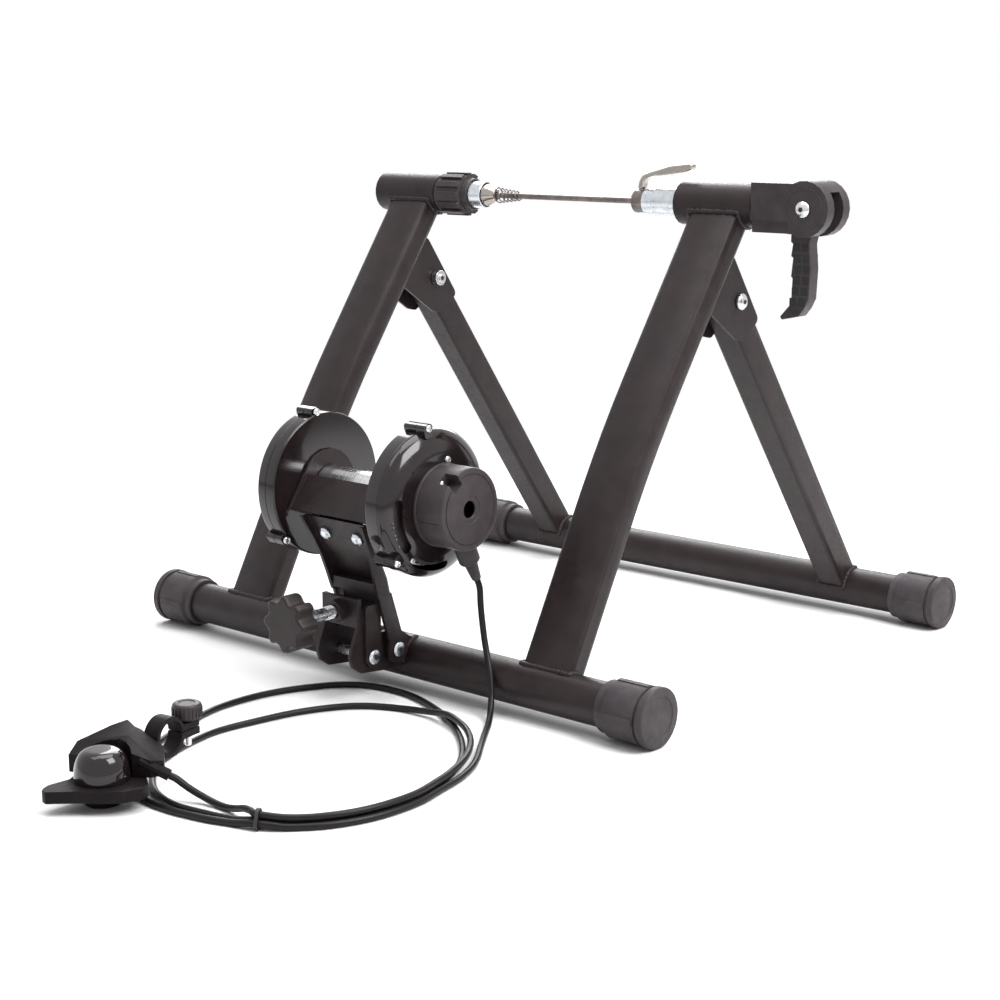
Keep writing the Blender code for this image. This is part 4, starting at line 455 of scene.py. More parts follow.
def rounded_edges(obj, width, segments=2, angle=40):
    bevel = obj.modifiers.new("Edges", "BEVEL")
    bevel.width = width
    bevel.segments = segments
    bevel.limit_method = "ANGLE"
    bevel.angle_limit = math.radians(angle)
    bevel.use_clamp_overlap = True
    bevel.harden_normals = True
    return obj


def made(shape, name, body, finish, replaced=(), slot=None, edge=0.0, segments=2):
    """A finished piece of this shape, settled on its body."""
    obj = grown(shape, name, finish)
    if edge:
        rounded_edges(obj, edge, segments)
    return settled(obj, body, replaced)


def across(axis):
    """Two directions square to the axis."""
    first = (Z if abs(axis.z) < 0.9 else Y).cross(axis).normalized()
    return first, axis.cross(first)


def polar(radius, turn):
    """The flat point at this radius and turn."""
    return radius * math.cos(turn), radius * math.sin(turn)


def quarter(steps):
    """Angles from 0 over a quarter turn."""
    return [math.pi / 2 * k / steps for k in range(steps + 1)]


def soft_end(end, radius, edge=ROUND_EDGE, steps=5):
    """Profile points of the rounded edge between a round side and its end face."""
    return [
        (end - edge * (1 - math.sin(turn)), radius - edge * (1 - math.cos(turn))) for turn in quarter(steps)]


def lathe(profile, centre, axis, steps=None):
    """Turns (along, radius) points round the axis. The ends join, unless a radius of 0 closes them."""
    steps = steps or sizes().round_steps
    first, second = across(axis)
    circle = [polar(1, 2 * math.pi * k / steps) for k in range(steps)]
    shape = bmesh.new()
    rows = []
    for along, radius in profile:
        middle = centre + axis * along
        if radius <= 0:
            rows.append([shape.verts.new(middle)])
            continue
        rows.append([shape.verts.new(middle + (first * a + second * b) * radius) for a, b in circle])
    pairs = list(zip(rows, rows[1:]))
    if len(rows[0]) > 1 and len(rows[-1]) > 1:
        pairs.append((rows[-1], rows[0]))
    for low, high in pairs:
        for k in range(steps):
            after = (k + 1) % steps
            corners = [low[k % len(low)], low[after % len(low)], high[after % len(high)], high[k % len(high)]]
            corners = list(dict.fromkeys(corners))
            if len(corners) > 2:
                shape.faces.new(corners)
    return shape


def directed(first, second, deep, origin=Vector((0, 0, 0))):
    """A function that gives the point of (a, b, depth) along three directions from the origin."""
    def place(a, b, depth):
        return origin + first * a + second * b + deep * depth
    return place


# Points of the drums' faces from the roller's axis, with depth along X from the roller's middle
on_drum = directed(Y, Z, X, ROLLER)


def corners_of(low, high):
    """The corners of the flat box between two opposite ones."""
    return [low, (high[0], low[1]), high, (low[0], high[1])]


def radial_block(angle, near, far, half):
    """Corners of a block that stands out from the roller's axis, with half its width, angle in degrees."""
    out = Vector(polar(1, math.radians(angle)))
    along = Vector((-out.y, out.x)) * half
    return [out * near - along, out * near + along, out * far + along, out * far - along]


def slab(outline, place, low, high):
    """A flat outline pushed from low to high, where place gives the point of (a, b, depth)."""
    shape = bmesh.new()
    ends = [[shape.verts.new(place(a, b, depth)) for a, b in outline] for depth in (low, high)]
    for end in ends:
        shape.faces.new(end)
    for k in range(len(outline)):
        after = (k + 1) % len(outline)
        shape.faces.new([ends[0][k], ends[0][after], ends[1][after], ends[1][k]])
    return shape


def added(shape, other):
    """Puts a copy of the other shape's faces into the first, as a body of its own."""
    mesh = bpy.data.meshes.new("added")
    other.to_mesh(mesh)
    other.free()
    shape.from_mesh(mesh)
    bpy.data.meshes.remove(mesh)
    return shape


def soft_outline(corners, radius, steps=4):
    """An outline with its corners rounded."""
    points = []
    for k, corner in enumerate(corners):
        corner = Vector(corner)
        before, after = Vector(corners[k - 1]) - corner, Vector(corners[(k + 1) % len(corners)]) - corner
        reach = min(radius, 0.45 * before.length, 0.45 * after.length)
        start, end = corner + before.normalized() * reach, corner + after.normalized() * reach
        for step in range(steps + 1):
            t = step / steps
            points.append(tuple(start * (1 - t) ** 2 + corner * 2 * t * (1 - t) + end * t ** 2))
    return points


def carved(obj, shapes):
    """Cuts the shapes out of the piece."""
    for shape in shapes:
        cutter = grown(shape, "cutter", "painted_shade_black")
        cut = obj.modifiers.new("cut", "BOOLEAN")
        cut.operation = "DIFFERENCE"
        cut.solver = "EXACT"
        cut.object = cutter
        flatten(obj)
        bpy.data.objects.remove(cutter)
    return obj


def flatten(obj):
    """Turns what the modifiers show into the piece's own mesh."""
    graph = bpy.context.evaluated_depsgraph_get()
    made = bpy.data.meshes.new_from_object(obj.evaluated_get(graph))
    obj.modifiers.clear()
    obj.data = made
    return obj


# Node trees for what repeats


class Tree:
    """A geometry node tree with named inputs, and its modifier on an object."""

    def __init__(self, name, inputs):
        self.group = bpy.data.node_groups.new(name, "GeometryNodeTree")
        face = self.group.interface
        face.new_socket("Geometry", in_out="INPUT", socket_type="NodeSocketGeometry")
        self.sockets = {}
        for label, kind in inputs.items():
            self.sockets[label] = face.new_socket(label, in_out="INPUT", socket_type=kind).identifier
        face.new_socket("Geometry", in_out="OUTPUT", socket_type="NodeSocketGeometry")
        self.start = self.add("NodeGroupInput")
        self.end = self.add("NodeGroupOutput")

    def add(self, kind, **settings):
        node = self.group.nodes.new(kind)
        for key, value in settings.items():
            setattr(node, key, value)
        return node

    def link(self, source, output, target, socket):
        self.group.links.new(source.outputs[output], target.inputs[socket])

    def finish(self, copies):
        """Realizes the copies and gives them the finish from the input."""
        real = self.add("GeometryNodeRealizeInstances")
        paint = self.add("GeometryNodeSetMaterial")
        self.link(copies, "Instances", real, "Geometry")
        self.link(real, "Geometry", paint, "Geometry")
        self.link(self.start, "Finish", paint, "Material")
        self.link(paint, "Geometry", self.end, "Geometry")

    def run(self, obj, **values):
        modifier = obj.modifiers.new(self.group.name, "NODES")
        modifier.node_group = self.group
        for label, value in values.items():
            modifier[self.sockets[label]] = value
        obj.update_tag()
        bpy.context.view_layer.update()
        return flatten(obj)


def scatter_tree():
    """Puts a template on each point, turned by the point's own turn attribute."""
    tree = Tree("Copies", {
        "Template": "NodeSocketObject", "Size": "NodeSocketFloat", "Finish": "NodeSocketMaterial"})
    points = tree.add("GeometryNodeMeshToPoints")
    item = tree.add("GeometryNodeObjectInfo", transform_space="ORIGINAL")
    turn = tree.add("GeometryNodeInputNamedAttribute", data_type="FLOAT_VECTOR")
    turn.inputs["Name"].default_value = "turn"
    copies = tree.add("GeometryNodeInstanceOnPoints")
    tree.link(tree.start, "Geometry", points, "Mesh")
    tree.link(tree.start, "Template", item, "Object")
    tree.link(points, "Points", copies, "Points")
    tree.link(item, "Geometry", copies, "Instance")
    tree.link(turn, "Attribute", copies, "Rotation")
    tree.link(tree.start, "Size", copies, "Scale")
    tree.finish(copies)
    return tree


def bead_tree():
    """Lays overlapping drops of metal along each edge path."""
    tree = Tree("Weld", {
        "Radius": "NodeSocketFloat", "Step": "NodeSocketFloat", "Finish": "NodeSocketMaterial"})
    path = tree.add("GeometryNodeMeshToCurve")
    even = tree.add("GeometryNodeResampleCurve", mode="LENGTH")
    drop = tree.add("GeometryNodeMeshIcoSphere")
    drop.inputs["Subdivisions"].default_value = 2
    smooth = tree.add("GeometryNodeSetShadeSmooth")
    copies = tree.add("GeometryNodeInstanceOnPoints")
    uneven = tree.add("FunctionNodeRandomValue", data_type="FLOAT")
    uneven.inputs["Min"].default_value, uneven.inputs["Max"].default_value = DROP_SIZES
    uneven.inputs["Seed"].default_value = DROP_SEED
    tree.link(tree.start, "Geometry", path, "Mesh")
    tree.link(path, "Curve", even, "Curve")
    tree.link(tree.start, "Step", even, "Length")
    tree.link(tree.start, "Radius", drop, "Radius")
    tree.link(drop, "Mesh", smooth, "Geometry")
    tree.link(even, "Curve", copies, "Points")
    tree.link(smooth, "Geometry", copies, "Instance")
    tree.link(uneven, "Value", copies, "Scale")
    tree.finish(copies)
    return tree


def turned_about(point, axis, count):
    """Places at one point, turned in equal steps round the axis."""
    return [(point, axis * (2 * math.pi * k / count)) for k in range(count)]


def scattered(name, template, places, slot):
    """Copies of the template's shape at (point, turn) places, as one plain mesh."""
    mesh = bpy.data.meshes.new(name)
    mesh.from_pydata([point for point, turn in places], [], [])
    turns = mesh.attributes.new("turn", "FLOAT_VECTOR", "POINT")
    turns.data.foreach_set("vector", [angle for point, turn in places for angle in turn])
    obj = shown(name, mesh)
    master = grown(template, "master", slot)
    scatter_tree().run(obj, Template=master, Size=1.0, Finish=finish_of(slot))
    bpy.data.objects.remove(master)
    return obj


def beaded(name, paths, slot):
    """A weld bead along each path of points."""
    mesh = bpy.data.meshes.new(name)
    points = [point for path in paths for point in path]
    edges = []
    first = 0
    for path in paths:
        edges += [(first + k, first + k + 1) for k in range(len(path) - 1)]
        first += len(path)
    mesh.from_pydata(points, edges, [])
    obj = shown(name, mesh)
    bead_tree().run(obj, Radius=sizes().weld, Step=sizes().weld_step, Finish=finish_of(slot))
    return obj


# Outlines of the weld joints


def leg_ring(section, steps=9):
    """Points round a box tube's section, (along X, along its depth)."""
    wide, deep = section[0] / 2, section[1] / 2
    corners = corners_of((-wide, -deep), (wide, deep))
    points = []
    for start, end in zip(corners, corners[1:] + corners[:1]):
        for k in range(steps):
            t = k / steps
            points.append((start[0] + (end[0] - start[0]) * t, start[1] + (end[1] - start[1]) * t))
    return points + points[:1]


def leg_weld(section, middle, run):
    """The path where a leg that leaves the round tube along run meets its surface."""
    run = run.normalized()
    side = X.cross(run)
    return [
        middle + X * a + side * b + run * math.sqrt(TUBE_RADIUS ** 2 - b ** 2)
        for a, b in leg_ring(section)
    ]


def tube_arc(x, start, end, steps=14):
    """An arc on the front floor tube, angles in degrees from the rear over the top."""
    turns = [math.radians(start + (end - start) * k / steps) for k in range(steps + 1)]
    return [FRONT_TUBE + Vector((x, *polar(TUBE_RADIUS, turn))) for turn in turns]


# Pieces


def drum_half(name, side, closed_at, open_at, hole, slots=()):
    """Half a drum round the roller's axis, finely turned, with its screw posts and slots."""
    inward = 1 if open_at > closed_at else -1
    bore = DRUM_RADIUS - DRUM_WALL
    outside = [(ROUND_EDGE * (1 - math.cos(turn)), ROUND_EDGE * (1 - math.sin(turn))) for turn in quarter(5)]
    inside, root, inset = [(DRUM_WALL, DRUM_WALL)], bore + 0.5 * DRUM_WALL, POST_INSET
    if slots:
        outside, inside, root, inset = SHOULDER, SHOULDER_INSIDE, bore - POST_ROOT_DOMED, POST_INSET_DOMED

    def rim(points):
        return [(closed_at + inward * deep, DRUM_RADIUS - reach) for deep, reach in points]

    profile = [
        (closed_at, hole), *rim(outside), (open_at, DRUM_RADIUS), (open_at, bore), *rim(inside),
        (closed_at + inward * DRUM_WALL, hole)]
    shell = grown(lathe(profile, ROLLER, X * side), f"{name}_shell", "gloss_black")
    below, above = SLOT_CUT
    carved(shell, [slab(slot, on_drum, side * closed_at - below, side * closed_at + above) for slot in slots])
    shape = bmesh.new()
    shape.from_mesh(shell.data)
    bpy.data.objects.remove(shell)
    low, high = sorted((side * open_at, side * (closed_at + inward * inset)))
    for angle in POST_ANGLES:
        post = soft_outline(radial_block(angle, root, DRUM_RADIUS + POST_RISE, POST_WIDTH / 2), POST_ROUND)
        added(shape, slab(post, on_drum, low, high))
    return grown(shape, name, "gloss_black")


def ring_slot(radius, width, start, end):
    """Outline of a slot that follows a circle round the roller's axis, with round ends, angles in degrees."""
    tip = width / 2
    turns = [math.radians(start + (end - start) * k / 24) for k in range(25)]

    def round_end(turn, leaving):
        middle = Vector(polar(radius, turn))
        return [tuple(middle + Vector(polar(tip, leaving + math.pi * k / 8))) for k in range(1, 8)]

    return [
        *[polar(radius + tip, turn) for turn in turns], *round_end(turns[-1], turns[-1]),
        *[polar(radius - tip, turn) for turn in reversed(turns)], *round_end(turns[0], turns[0] + math.pi)]


class TRAINER_OT_drums(bpy.types.Operator):
    """Flywheel drum, magnet drum and cable cover, with their slots, posts and screws"""
    bl_idname = "trainer.drums"
    bl_label = "Drums"

    def execute(self, context):
        seam_left, seam_right = DRUM_START + INNER_LEFT, DRUM_START + INNER_RIGHT
        far_left, far_right = DRUM_START + FLYWHEEL_DRUM, DRUM_START + MAGNET_DRUM
        slots = [ring_slot(*slot) for slot in DRUM_SLOTS]
        halves = {
            "flywheel_housing_inner": (-1, DRUM_START, seam_left, SHAFT_HOLE),
            "flywheel_housing_outer": (-1, far_left, seam_left + SEAM, 0),
            "magnet_housing_inner": (1, DRUM_START, seam_right, SHAFT_HOLE),
            "magnet_housing_outer": (1, far_right, seam_right + SEAM, STEM_HOLE, slots),
        }
        for node, facts in halves.items():
            half = drum_half(f"{node}_finish", *facts)
            settled(rounded_edges(half, 0.0004, angle=50), "resistance_arm", [node])
        self.cover(far_right)
        self.screws(far_right)
        return {"FINISHED"}

    def cover(self, face):
        """Round cover over the cable's winding, with a stepped rim, a notch, an open centre and a ridge."""
        start, end = face + SEAM, face + SEAM + COVER_LENGTH
        step = COVER_RADIUS - 0.0005
        hole, hollow, roof = 0.0065, 0.0205, end - 0.002
        foot = [(start, COVER_RADIUS), (start + 0.0020, COVER_RADIUS), (start + 0.0025, step)]
        groove = [(end, 0.0278), (end - 0.0006, 0.0275), (end - 0.0006, 0.0268), (end, 0.0265)]
        centre = [(end, 0.0112), (end - 0.0005, 0.0108), (end - 0.0005, hole + 0.0006), (end - 0.0012, hole)]
        well = [(roof, hole), (roof, hollow), (start, hollow)]
        profile = [*foot, *soft_end(end, step, steps=6), *groove, *centre, *well]
        cover = grown(lathe(profile, ROLLER, X), "cable_cover", "satin_black")
        notch = soft_outline(radial_block(angle=127, near=0.0222, far=0.040, half=0.0056), 0.0012)
        carved(cover, [slab(notch, on_drum, end - 0.0115, end + 0.002)])
        cover.data.shade_smooth()
        cover.data.set_sharp_from_angle(angle=math.radians(SHARP))
        settled(rounded_edges(cover, 0.0003, angle=50), "resistance_arm", ["cable_hub_cover"])
        ridge = radial_block(angle=194, near=step - 0.0006, far=step + 0.0005, half=0.0006)
        ridge = slab(ridge, on_drum, start + 0.006, end - 0.0045)
        made(ridge, "cover_ridge", "resistance_arm", "satin_black", edge=0.0002)

    def screws(self, face):
        """Screws in both ends of the posts, turned a little differently, and small ones on the face."""
        places = []
        for angle in POST_ANGLES:
            a, b = polar(POST_SCREWS, math.radians(angle))
            places.append((on_drum(a, b, face - POST_INSET_DOMED), X * 0.01 * angle))
            places.append((on_drum(a, b, POST_INSET - DRUM_START), X * 0.02 * angle))
        places += [(on_drum(*place), Vector((0, 0, 0))) for place in SMALL_SCREWS]
        screws = scattered("case_screws", cross_screw(sizes().screw), places, "bright_steel")
        settled(screws, "resistance_arm")


def cross_screw(radius):
    """Pan head facing +X, its seat at X 0, with a low raised cross in place of a recess."""
    height, sunk = 0.55 * radius, 0.0004
    dome = [(height * math.sin(turn), radius * (0.72 + 0.28 * math.cos(turn))) for turn in quarter(4)]
    head = lathe([(-sunk, 0), (-sunk, radius), *dome, (height, 0)], Vector((0, 0, 0)), X, 20)
    arm, half = 0.62 * radius, 0.13 * radius
    for a, b in ((arm, half), (half, arm)):
        added(head, slab(corners_of((-a, -b), (a, b)), directed(Y, Z, X), 0.8 * height, height + 0.00012))
    return head


class TRAINER_OT_foot_caps(bpy.types.Operator):
    """Four rubber end caps with ribs, a groove and a rim"""
    bl_idname = "trainer.foot_caps"
    bl_label = "Foot caps"

    def execute(self, context):
        bore = TUBE_RADIUS + 0.0003
        inside = [(0, bore), (CAP_LENGTH - CAP_FLOOR, bore), (CAP_LENGTH - CAP_FLOOR, 0)]
        for end, tube, body in (("front", FRONT_TUBE, "frame_front"), ("rear", REAR_TUBE, "rear_frame")):
            for hand, side in (("left", -1), ("right", 1)):
                node = f"foot_cap_{end}_{hand}"
                low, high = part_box(node)
                mouth = Vector((high.x if side < 0 else low.x, tube.y, tube.z))
                shape = lathe(self.skin(bore), mouth, X * side)
                shape = added(shape, lathe(inside, mouth, X * side))
                made(shape, f"{node}_skin", body, "cap_rubber", [node])
                self.ribs(node, mouth, side, body)
        return {"FINISHED"}

    def skin(self, bore):
        """Outer profile from the mouth: flared collar, skin, groove, rim and sunk end face."""
        collar, flare = bore + 0.0028, 0.008
        groove, groove_floor = CAP_LENGTH - 0.009, CAP_SKIN - 0.0014
        return [
            (0, bore), (0, collar - 0.0006), (0.0006, collar), (flare - 0.001, collar),
            (flare, CAP_SKIN - 0.0006), (flare + 0.0006, CAP_SKIN), (groove, CAP_SKIN),
            (groove + 0.0004, groove_floor), (groove + 0.0026, groove_floor),
            (groove + 0.0030, CAP_RADIUS - 0.0002), *soft_end(CAP_LENGTH, CAP_RADIUS),
            (CAP_LENGTH, 0.0165), (CAP_LENGTH - 0.0007, 0.0158), (CAP_LENGTH - 0.0007, 0)]

    def ribs(self, node, mouth, side, body):
        long, wide, high = CAP_RIB
        start = 0.0085
        outline = soft_outline(corners_of((0, -wide / 2), (long, wide / 2)), 0.001)
        place = directed(X * side, Y, Z, Z * (CAP_RADIUS - high))
        places = turned_about(mouth + X * side * start, X, sizes().cap_ribs)
        ribs = scattered(f"{node}_ribs", slab(outline, place, 0, high - 0.0001), places, "cap_rubber")
        settled(rounded_edges(ribs, 0.0004), body)


class TRAINER_OT_welds(bpy.types.Operator):
    """Weld beads where the legs and the clevis meet the floor and axle tubes"""
    bl_idname = "trainer.welds"
    bl_label = "Weld beads"

    def execute(self, context):
        front, rear = [], []
        for side in (-1, 1):
            leg = X * side * LEG_X
            front.append(leg_weld(MAIN_LEG, FRONT_TUBE + leg, KNEE - FRONT_TUBE))
            front.append(leg_weld(MAIN_LEG, AXLE + leg, KNEE - AXLE))
            rear.append(leg_weld(REAR_LEG, REAR_TUBE + leg, FOLD - REAR_TUBE))
        low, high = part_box("clevis_bracket")
        for x in (low.x, high.x):
            front.append(tube_arc(x, start=96, end=178))
        settled(beaded("front_welds", front, "frame_black"), "frame_front")
        settled(beaded("rear_welds", rear, "frame_black"), "rear_frame")
        return {"FINISHED"}


class TRAINER_OT_lever_grip(bpy.types.Operator):
    """Cells between the ribs on both sides of the clamp lever, painted near-black as the shade in their
    recesses
    """
    bl_idname = "trainer.lever_grip"
    bl_label = "Lever grip"

    def execute(self, context):
        low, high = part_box("clamp_lever")
        top, pitch, middle, column = high.z - 0.0386, 0.0086, 0.2452, 0.0040
        cell, sunk, proud = (0.0031, 0.0033), 0.0005, 0.00012
        outline = soft_outline(corners_of((-cell[0], -cell[1]), cell), 0.0009)
        places = []
        for row in range(sizes().grip_rows):
            lean = 0.0008 - 0.00035 * (row - 2) ** 2
            for x in (middle - column + lean, middle + column + lean):
                for y, turn in ((low.y, 0), (high.y, math.pi)):
                    places.append((Vector((x, y, top - pitch * row)), Z * turn))
        # The cells are thin slabs a hair proud of the lever, painted near-black for the shade of the recessed
        # cells
        template = slab(outline, directed(X, Z, -Y), -sunk, proud)
        settled(scattered("lever_grip", template, places, "painted_shade_black"), "clamp_lever")
        return {"FINISHED"}


class TRAINER_OT_clamp_screw(bpy.types.Operator):
    """Thumb screw of the handlebar clamp with its knurled cap and bright pin"""
    bl_idname = "trainer.clamp_screw"
    bl_label = "Clamp screw"

    def execute(self, context):
        low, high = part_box("clamp_screw")
        base = Vector((*middle_of("clamp_screw").xy, low.z))
        tall, cap, shank = high.z - low.z, 0.012, 0.0025
        radius = (high.x - low.x) / 2 - 0.0006
        seat = tall - cap
        profile = [
            (seat, 0), (seat, 0.75 * radius), (seat + 0.0014, radius), *soft_end(tall, radius, 0.0022),
            (tall, 0.6 * radius), (tall - 0.0006, 0.52 * radius), (tall - 0.0006, 0)]
        made(lathe(profile, base, Z, 72), "thumb_screw_cap", "clamp_screw", "satin_black", ["clamp_screw"])
        profile = [(0, 0), (0, 0.0018), (0.0006, shank), (seat, shank), (seat, 0)]
        made(lathe(profile, base, Z, 32), "thumb_screw_pin", "clamp_screw", "bright_steel")
        ridge = soft_outline(corners_of((-0.0005, 0.0022), (0.0005, cap - 0.0028)), 0.0004)
        template = slab(ridge, directed(Y, Z, X), radius - 0.0008, radius + 0.0006)
        places = turned_about(base + Z * seat, Z, sizes().knurls)
        ribs = scattered("thumb_screw_ribs", template, places, "satin_black")
        settled(rounded_edges(ribs, 0.00025), "clamp_screw")
        return {"FINISHED"}


# Ends of the cable, from the front floor tube's axis, as in the part
BOOT_TOP = Vector((0.105, -0.0244, 0.1086))
BOOT_END = Vector((0.105, -0.0096, 0.0792))
SHIFTER_PLACE = Vector((0.070, -0.347, -CAP_RADIUS))
SHIFTER_TURN = 41.4
BARREL_START = Vector((0.022, 0.024, 0.029))
BARREL_END = Vector((0.042, 0.022, 0.019))

# The tie round the strands, and how the strands lie in it
TIE_AT = Vector((0.1680, -0.2960, 0))
TIE_SIDE = Vector((0.489, -0.873, 0)).normalized()
TIE_SPREAD = 0.0031
TIE_STEP = 0.0052
TIE_LIFT = 0.0020
END_GAP = 0.0003


def cable_route():
    """The part's points of the cable, chosen one by one from the photograph, from the boot to the shifter."""
    lie = CABLE_LIE - CAP_RADIUS
    top = lie + TIE_STEP
    straight = 2 * CABLE_RADIUS
    boot_run = (BOOT_END - BOOT_TOP).normalized()
    turn = Matrix.Translation(SHIFTER_PLACE) @ Matrix.Rotation(math.radians(SHIFTER_TURN), 4, "Z")
    barrel = turn @ BARREL_END
    barrel_run = (barrel - turn @ BARREL_START).normalized()
    tied = TIE_AT + Z * (lie + TIE_LIFT)

    def on_floor(points):
        return [(x, y, lie) for x, y in points]

    route = [
        BOOT_END + boot_run * END_GAP, BOOT_END + boot_run * (END_GAP + straight),
        (0.1058, -0.0066, 0.0690), (0.1074, -0.0078, 0.0590), (0.1104, -0.0095, 0.0470),
        (0.1143, -0.0115, 0.0340), (0.1195, -0.0142, 0.0220), (0.1255, -0.0180, 0.0110),
        (0.1300, -0.0215, 0.0000), (0.1340, -0.0260, -0.0100), (0.1395, -0.0335, -0.0172),
        *on_floor([
            (0.149, -0.047), (0.162, -0.066), (0.174, -0.083),
            (0.1960, -0.1150), (0.2080, -0.1430), (0.2138, -0.1704), (0.2189, -0.2000), (0.2158, -0.2347),
            (0.2043, -0.2638), (0.1871, -0.2851)]),
        tied + TIE_SIDE * TIE_SPREAD,
        *on_floor([
            (0.1506, -0.3058), (0.1310, -0.3120), (0.1010, -0.3170), (0.0760, -0.3150), (0.0520, -0.3060),
            (0.0270, -0.2880), (0.0050, -0.2600), (-0.0110, -0.2300), (-0.0240, -0.1980), (-0.0340, -0.1700),
            (-0.0390, -0.1430), (-0.0370, -0.1080), (-0.0260, -0.0740), (-0.0080, -0.0460), (0.0180, -0.0320),
            (0.0540, -0.0310), (0.0940, -0.0440), (0.1280, -0.0630), (0.1580, -0.0870), (0.1830, -0.1150),
            (0.2000, -0.1460), (0.2076, -0.1716), (0.2130, -0.2000), (0.2100, -0.2333), (0.1992, -0.2600),
            (0.1825, -0.2807)]),
        tied - TIE_SIDE * TIE_SPREAD,
        *on_floor([
            (0.1494, -0.3000), (0.1260, -0.3055), (0.0980, -0.3090), (0.0690, -0.3010), (0.0450, -0.2840),
            (0.0270, -0.2660), (0.0200, -0.2500), (0.0130, -0.2330), (0.0080, -0.2150), (0.0040, -0.1890),
            (0.0080, -0.1570), (0.0180, -0.1150), (0.0380, -0.0800), (0.0680, -0.0610)]),
        (0.1000, -0.0570, -0.0182), (0.1180, -0.0600, -0.0152), (0.1320, -0.0650, -0.0148),
        (0.1540, -0.0770, -0.0148), (0.1760, -0.0970, -0.0150), (0.1940, -0.1230, -0.0152),
        (0.2050, -0.1500, top), (0.2108, -0.1710, top), (0.2160, -0.2000, top), (0.2129, -0.2340, top),
        (0.2018, -0.2620, top), (0.1848, -0.2829, top),
        tied + Z * TIE_STEP,
        (0.1590, -0.2945, -0.0138), (0.1500, -0.2922, -0.0152), (0.1395, -0.2902, -0.0185),
        (0.1280, -0.2893, lie), (0.1165, -0.2895, -0.0202), (0.1065, -0.2912, -0.0177),
        (0.0980, -0.2955, -0.0128),
        barrel + barrel_run * (END_GAP + straight), barrel + barrel_run * END_GAP,
    ]
    return [FRONT_TUBE + Vector(point) for point in route]


def rounded(points, steps):
    """Points of a smooth curve through the route, with the same number in each span."""
    route = [Vector(point) for point in points]
    ends = [route[0] * 2 - route[1], *route, route[-1] * 2 - route[-2]]
    result = []
    for before, start, end, after in zip(ends, ends[1:], ends[2:], ends[3:]):
        for k in range(steps):
            t = k / steps
            result.append(0.5 * (
                2 * start + (end - before) * t
                + (2 * before - 5 * start + 4 * end - after) * t ** 2
                + (3 * start - before - 3 * end + after) * t ** 3))
    return result + [route[-1]]


def dressed(node, edge=None, finish=None):
    """The node's own shape with welded corners, smooth round faces, rounded edges and its finish."""
    source = frame["nodes"][node]
    shape = bmesh.new()
    shape.from_mesh(source.data)
    bmesh.ops.remove_doubles(shape, verts=shape.verts, dist=2 * MERGE)
    bmesh.ops.dissolve_limit(shape, angle_limit=math.radians(FLAT), verts=shape.verts, edges=shape.edges)
    edge = sizes().edge if edge is None else edge
    slot = SLOT_OF[node]
    return made(shape, f"{node}_finish", BODY_OF[node], finish or slot, [node], slot, edge)


class TRAINER_OT_cable(bpy.types.Operator):
    """Brake cable from the boot to the shifter, with the tie round its coils"""
    bl_idname = "trainer.cable"
    bl_label = "Cable"

    def execute(self, context):
        points = rounded(cable_route(), 6)
        for point in points:
            point.z = max(point.z, CABLE_LIE)
        curve = bpy.data.curves.new("brake_cable", "CURVE")
        curve.dimensions = "3D"
        curve.bevel_depth = CABLE_RADIUS
        curve.bevel_resolution = 6
        curve.use_fill_caps = True
        line = curve.splines.new("POLY")
        line.points.add(len(points) - 1)
        line.points.foreach_set("co", [value for point in points for value in (*point, 1)])
        line.use_smooth = True
        curve.materials.append(finish_of("cable_black"))
        cable = shown("brake_cable", curve)
        settled(cable, "frame_front", ["cable_drop", "cable_loops"])
        tie = dressed("cable_tie", 0.0002)
        return {"FINISHED"}


class TRAINER_OT_shifter(bpy.types.Operator):
    """Shifter with its glossy dome and the ribbed thumb lever"""
    bl_idname = "trainer.shifter"
    bl_label = "Shifter"

    def execute(self, context):
        low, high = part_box("shifter_cap")
        base = Vector((*middle_of("shifter_cap").xy, 0))
        radius = (high.x - low.x) / 2
        pivot, skirt, flat, fullness = 0.004, 0.0178, 0.34, 0.7
        start = skirt + 0.0012
        tall = high.z
        profile = [(low.z, 0), (low.z, pivot), (skirt, pivot), (skirt, radius), (start, radius)]
        for turn in quarter(16)[1:]:
            share = flat + (1 - flat) * math.cos(turn) ** fullness
            profile.append((start + (tall - start) * math.sin(turn), radius * share))
        profile.append((tall, 0))
        dome = lathe(profile, base, Z)
        made(dome, "shifter_dome", BODY_OF["shifter_cap"], "gloss_black", ["shifter_cap"])
        dressed("shifter_body", 0.0011)
        dressed("thumb_lever", 0.0006)
        return {"FINISHED"}


class TRAINER_OT_threads(bpy.types.Operator):
    """Thread turns on the tension screw"""
    bl_idname = "trainer.threads"
    bl_label = "Threads"

    def execute(self, context):
        middle = middle_of("tension_screw")
        first, pitch, turns, half = -0.1238, 0.00125, 7, 0.0004
        root, crest = 0.0046, 0.0053
        template = lathe([(-half, root), (0, crest), (half, root)], Vector((0, 0, 0)), Y, 40)
        places = [(Vector((middle.x, first + pitch * k, middle.z)), Vector((0, 0, 0))) for k in range(turns)]
        threads = scattered("screw_threads", template, places, "bright_steel")
        settled(threads, BODY_OF["tension_screw"])
        return {"FINISHED"}


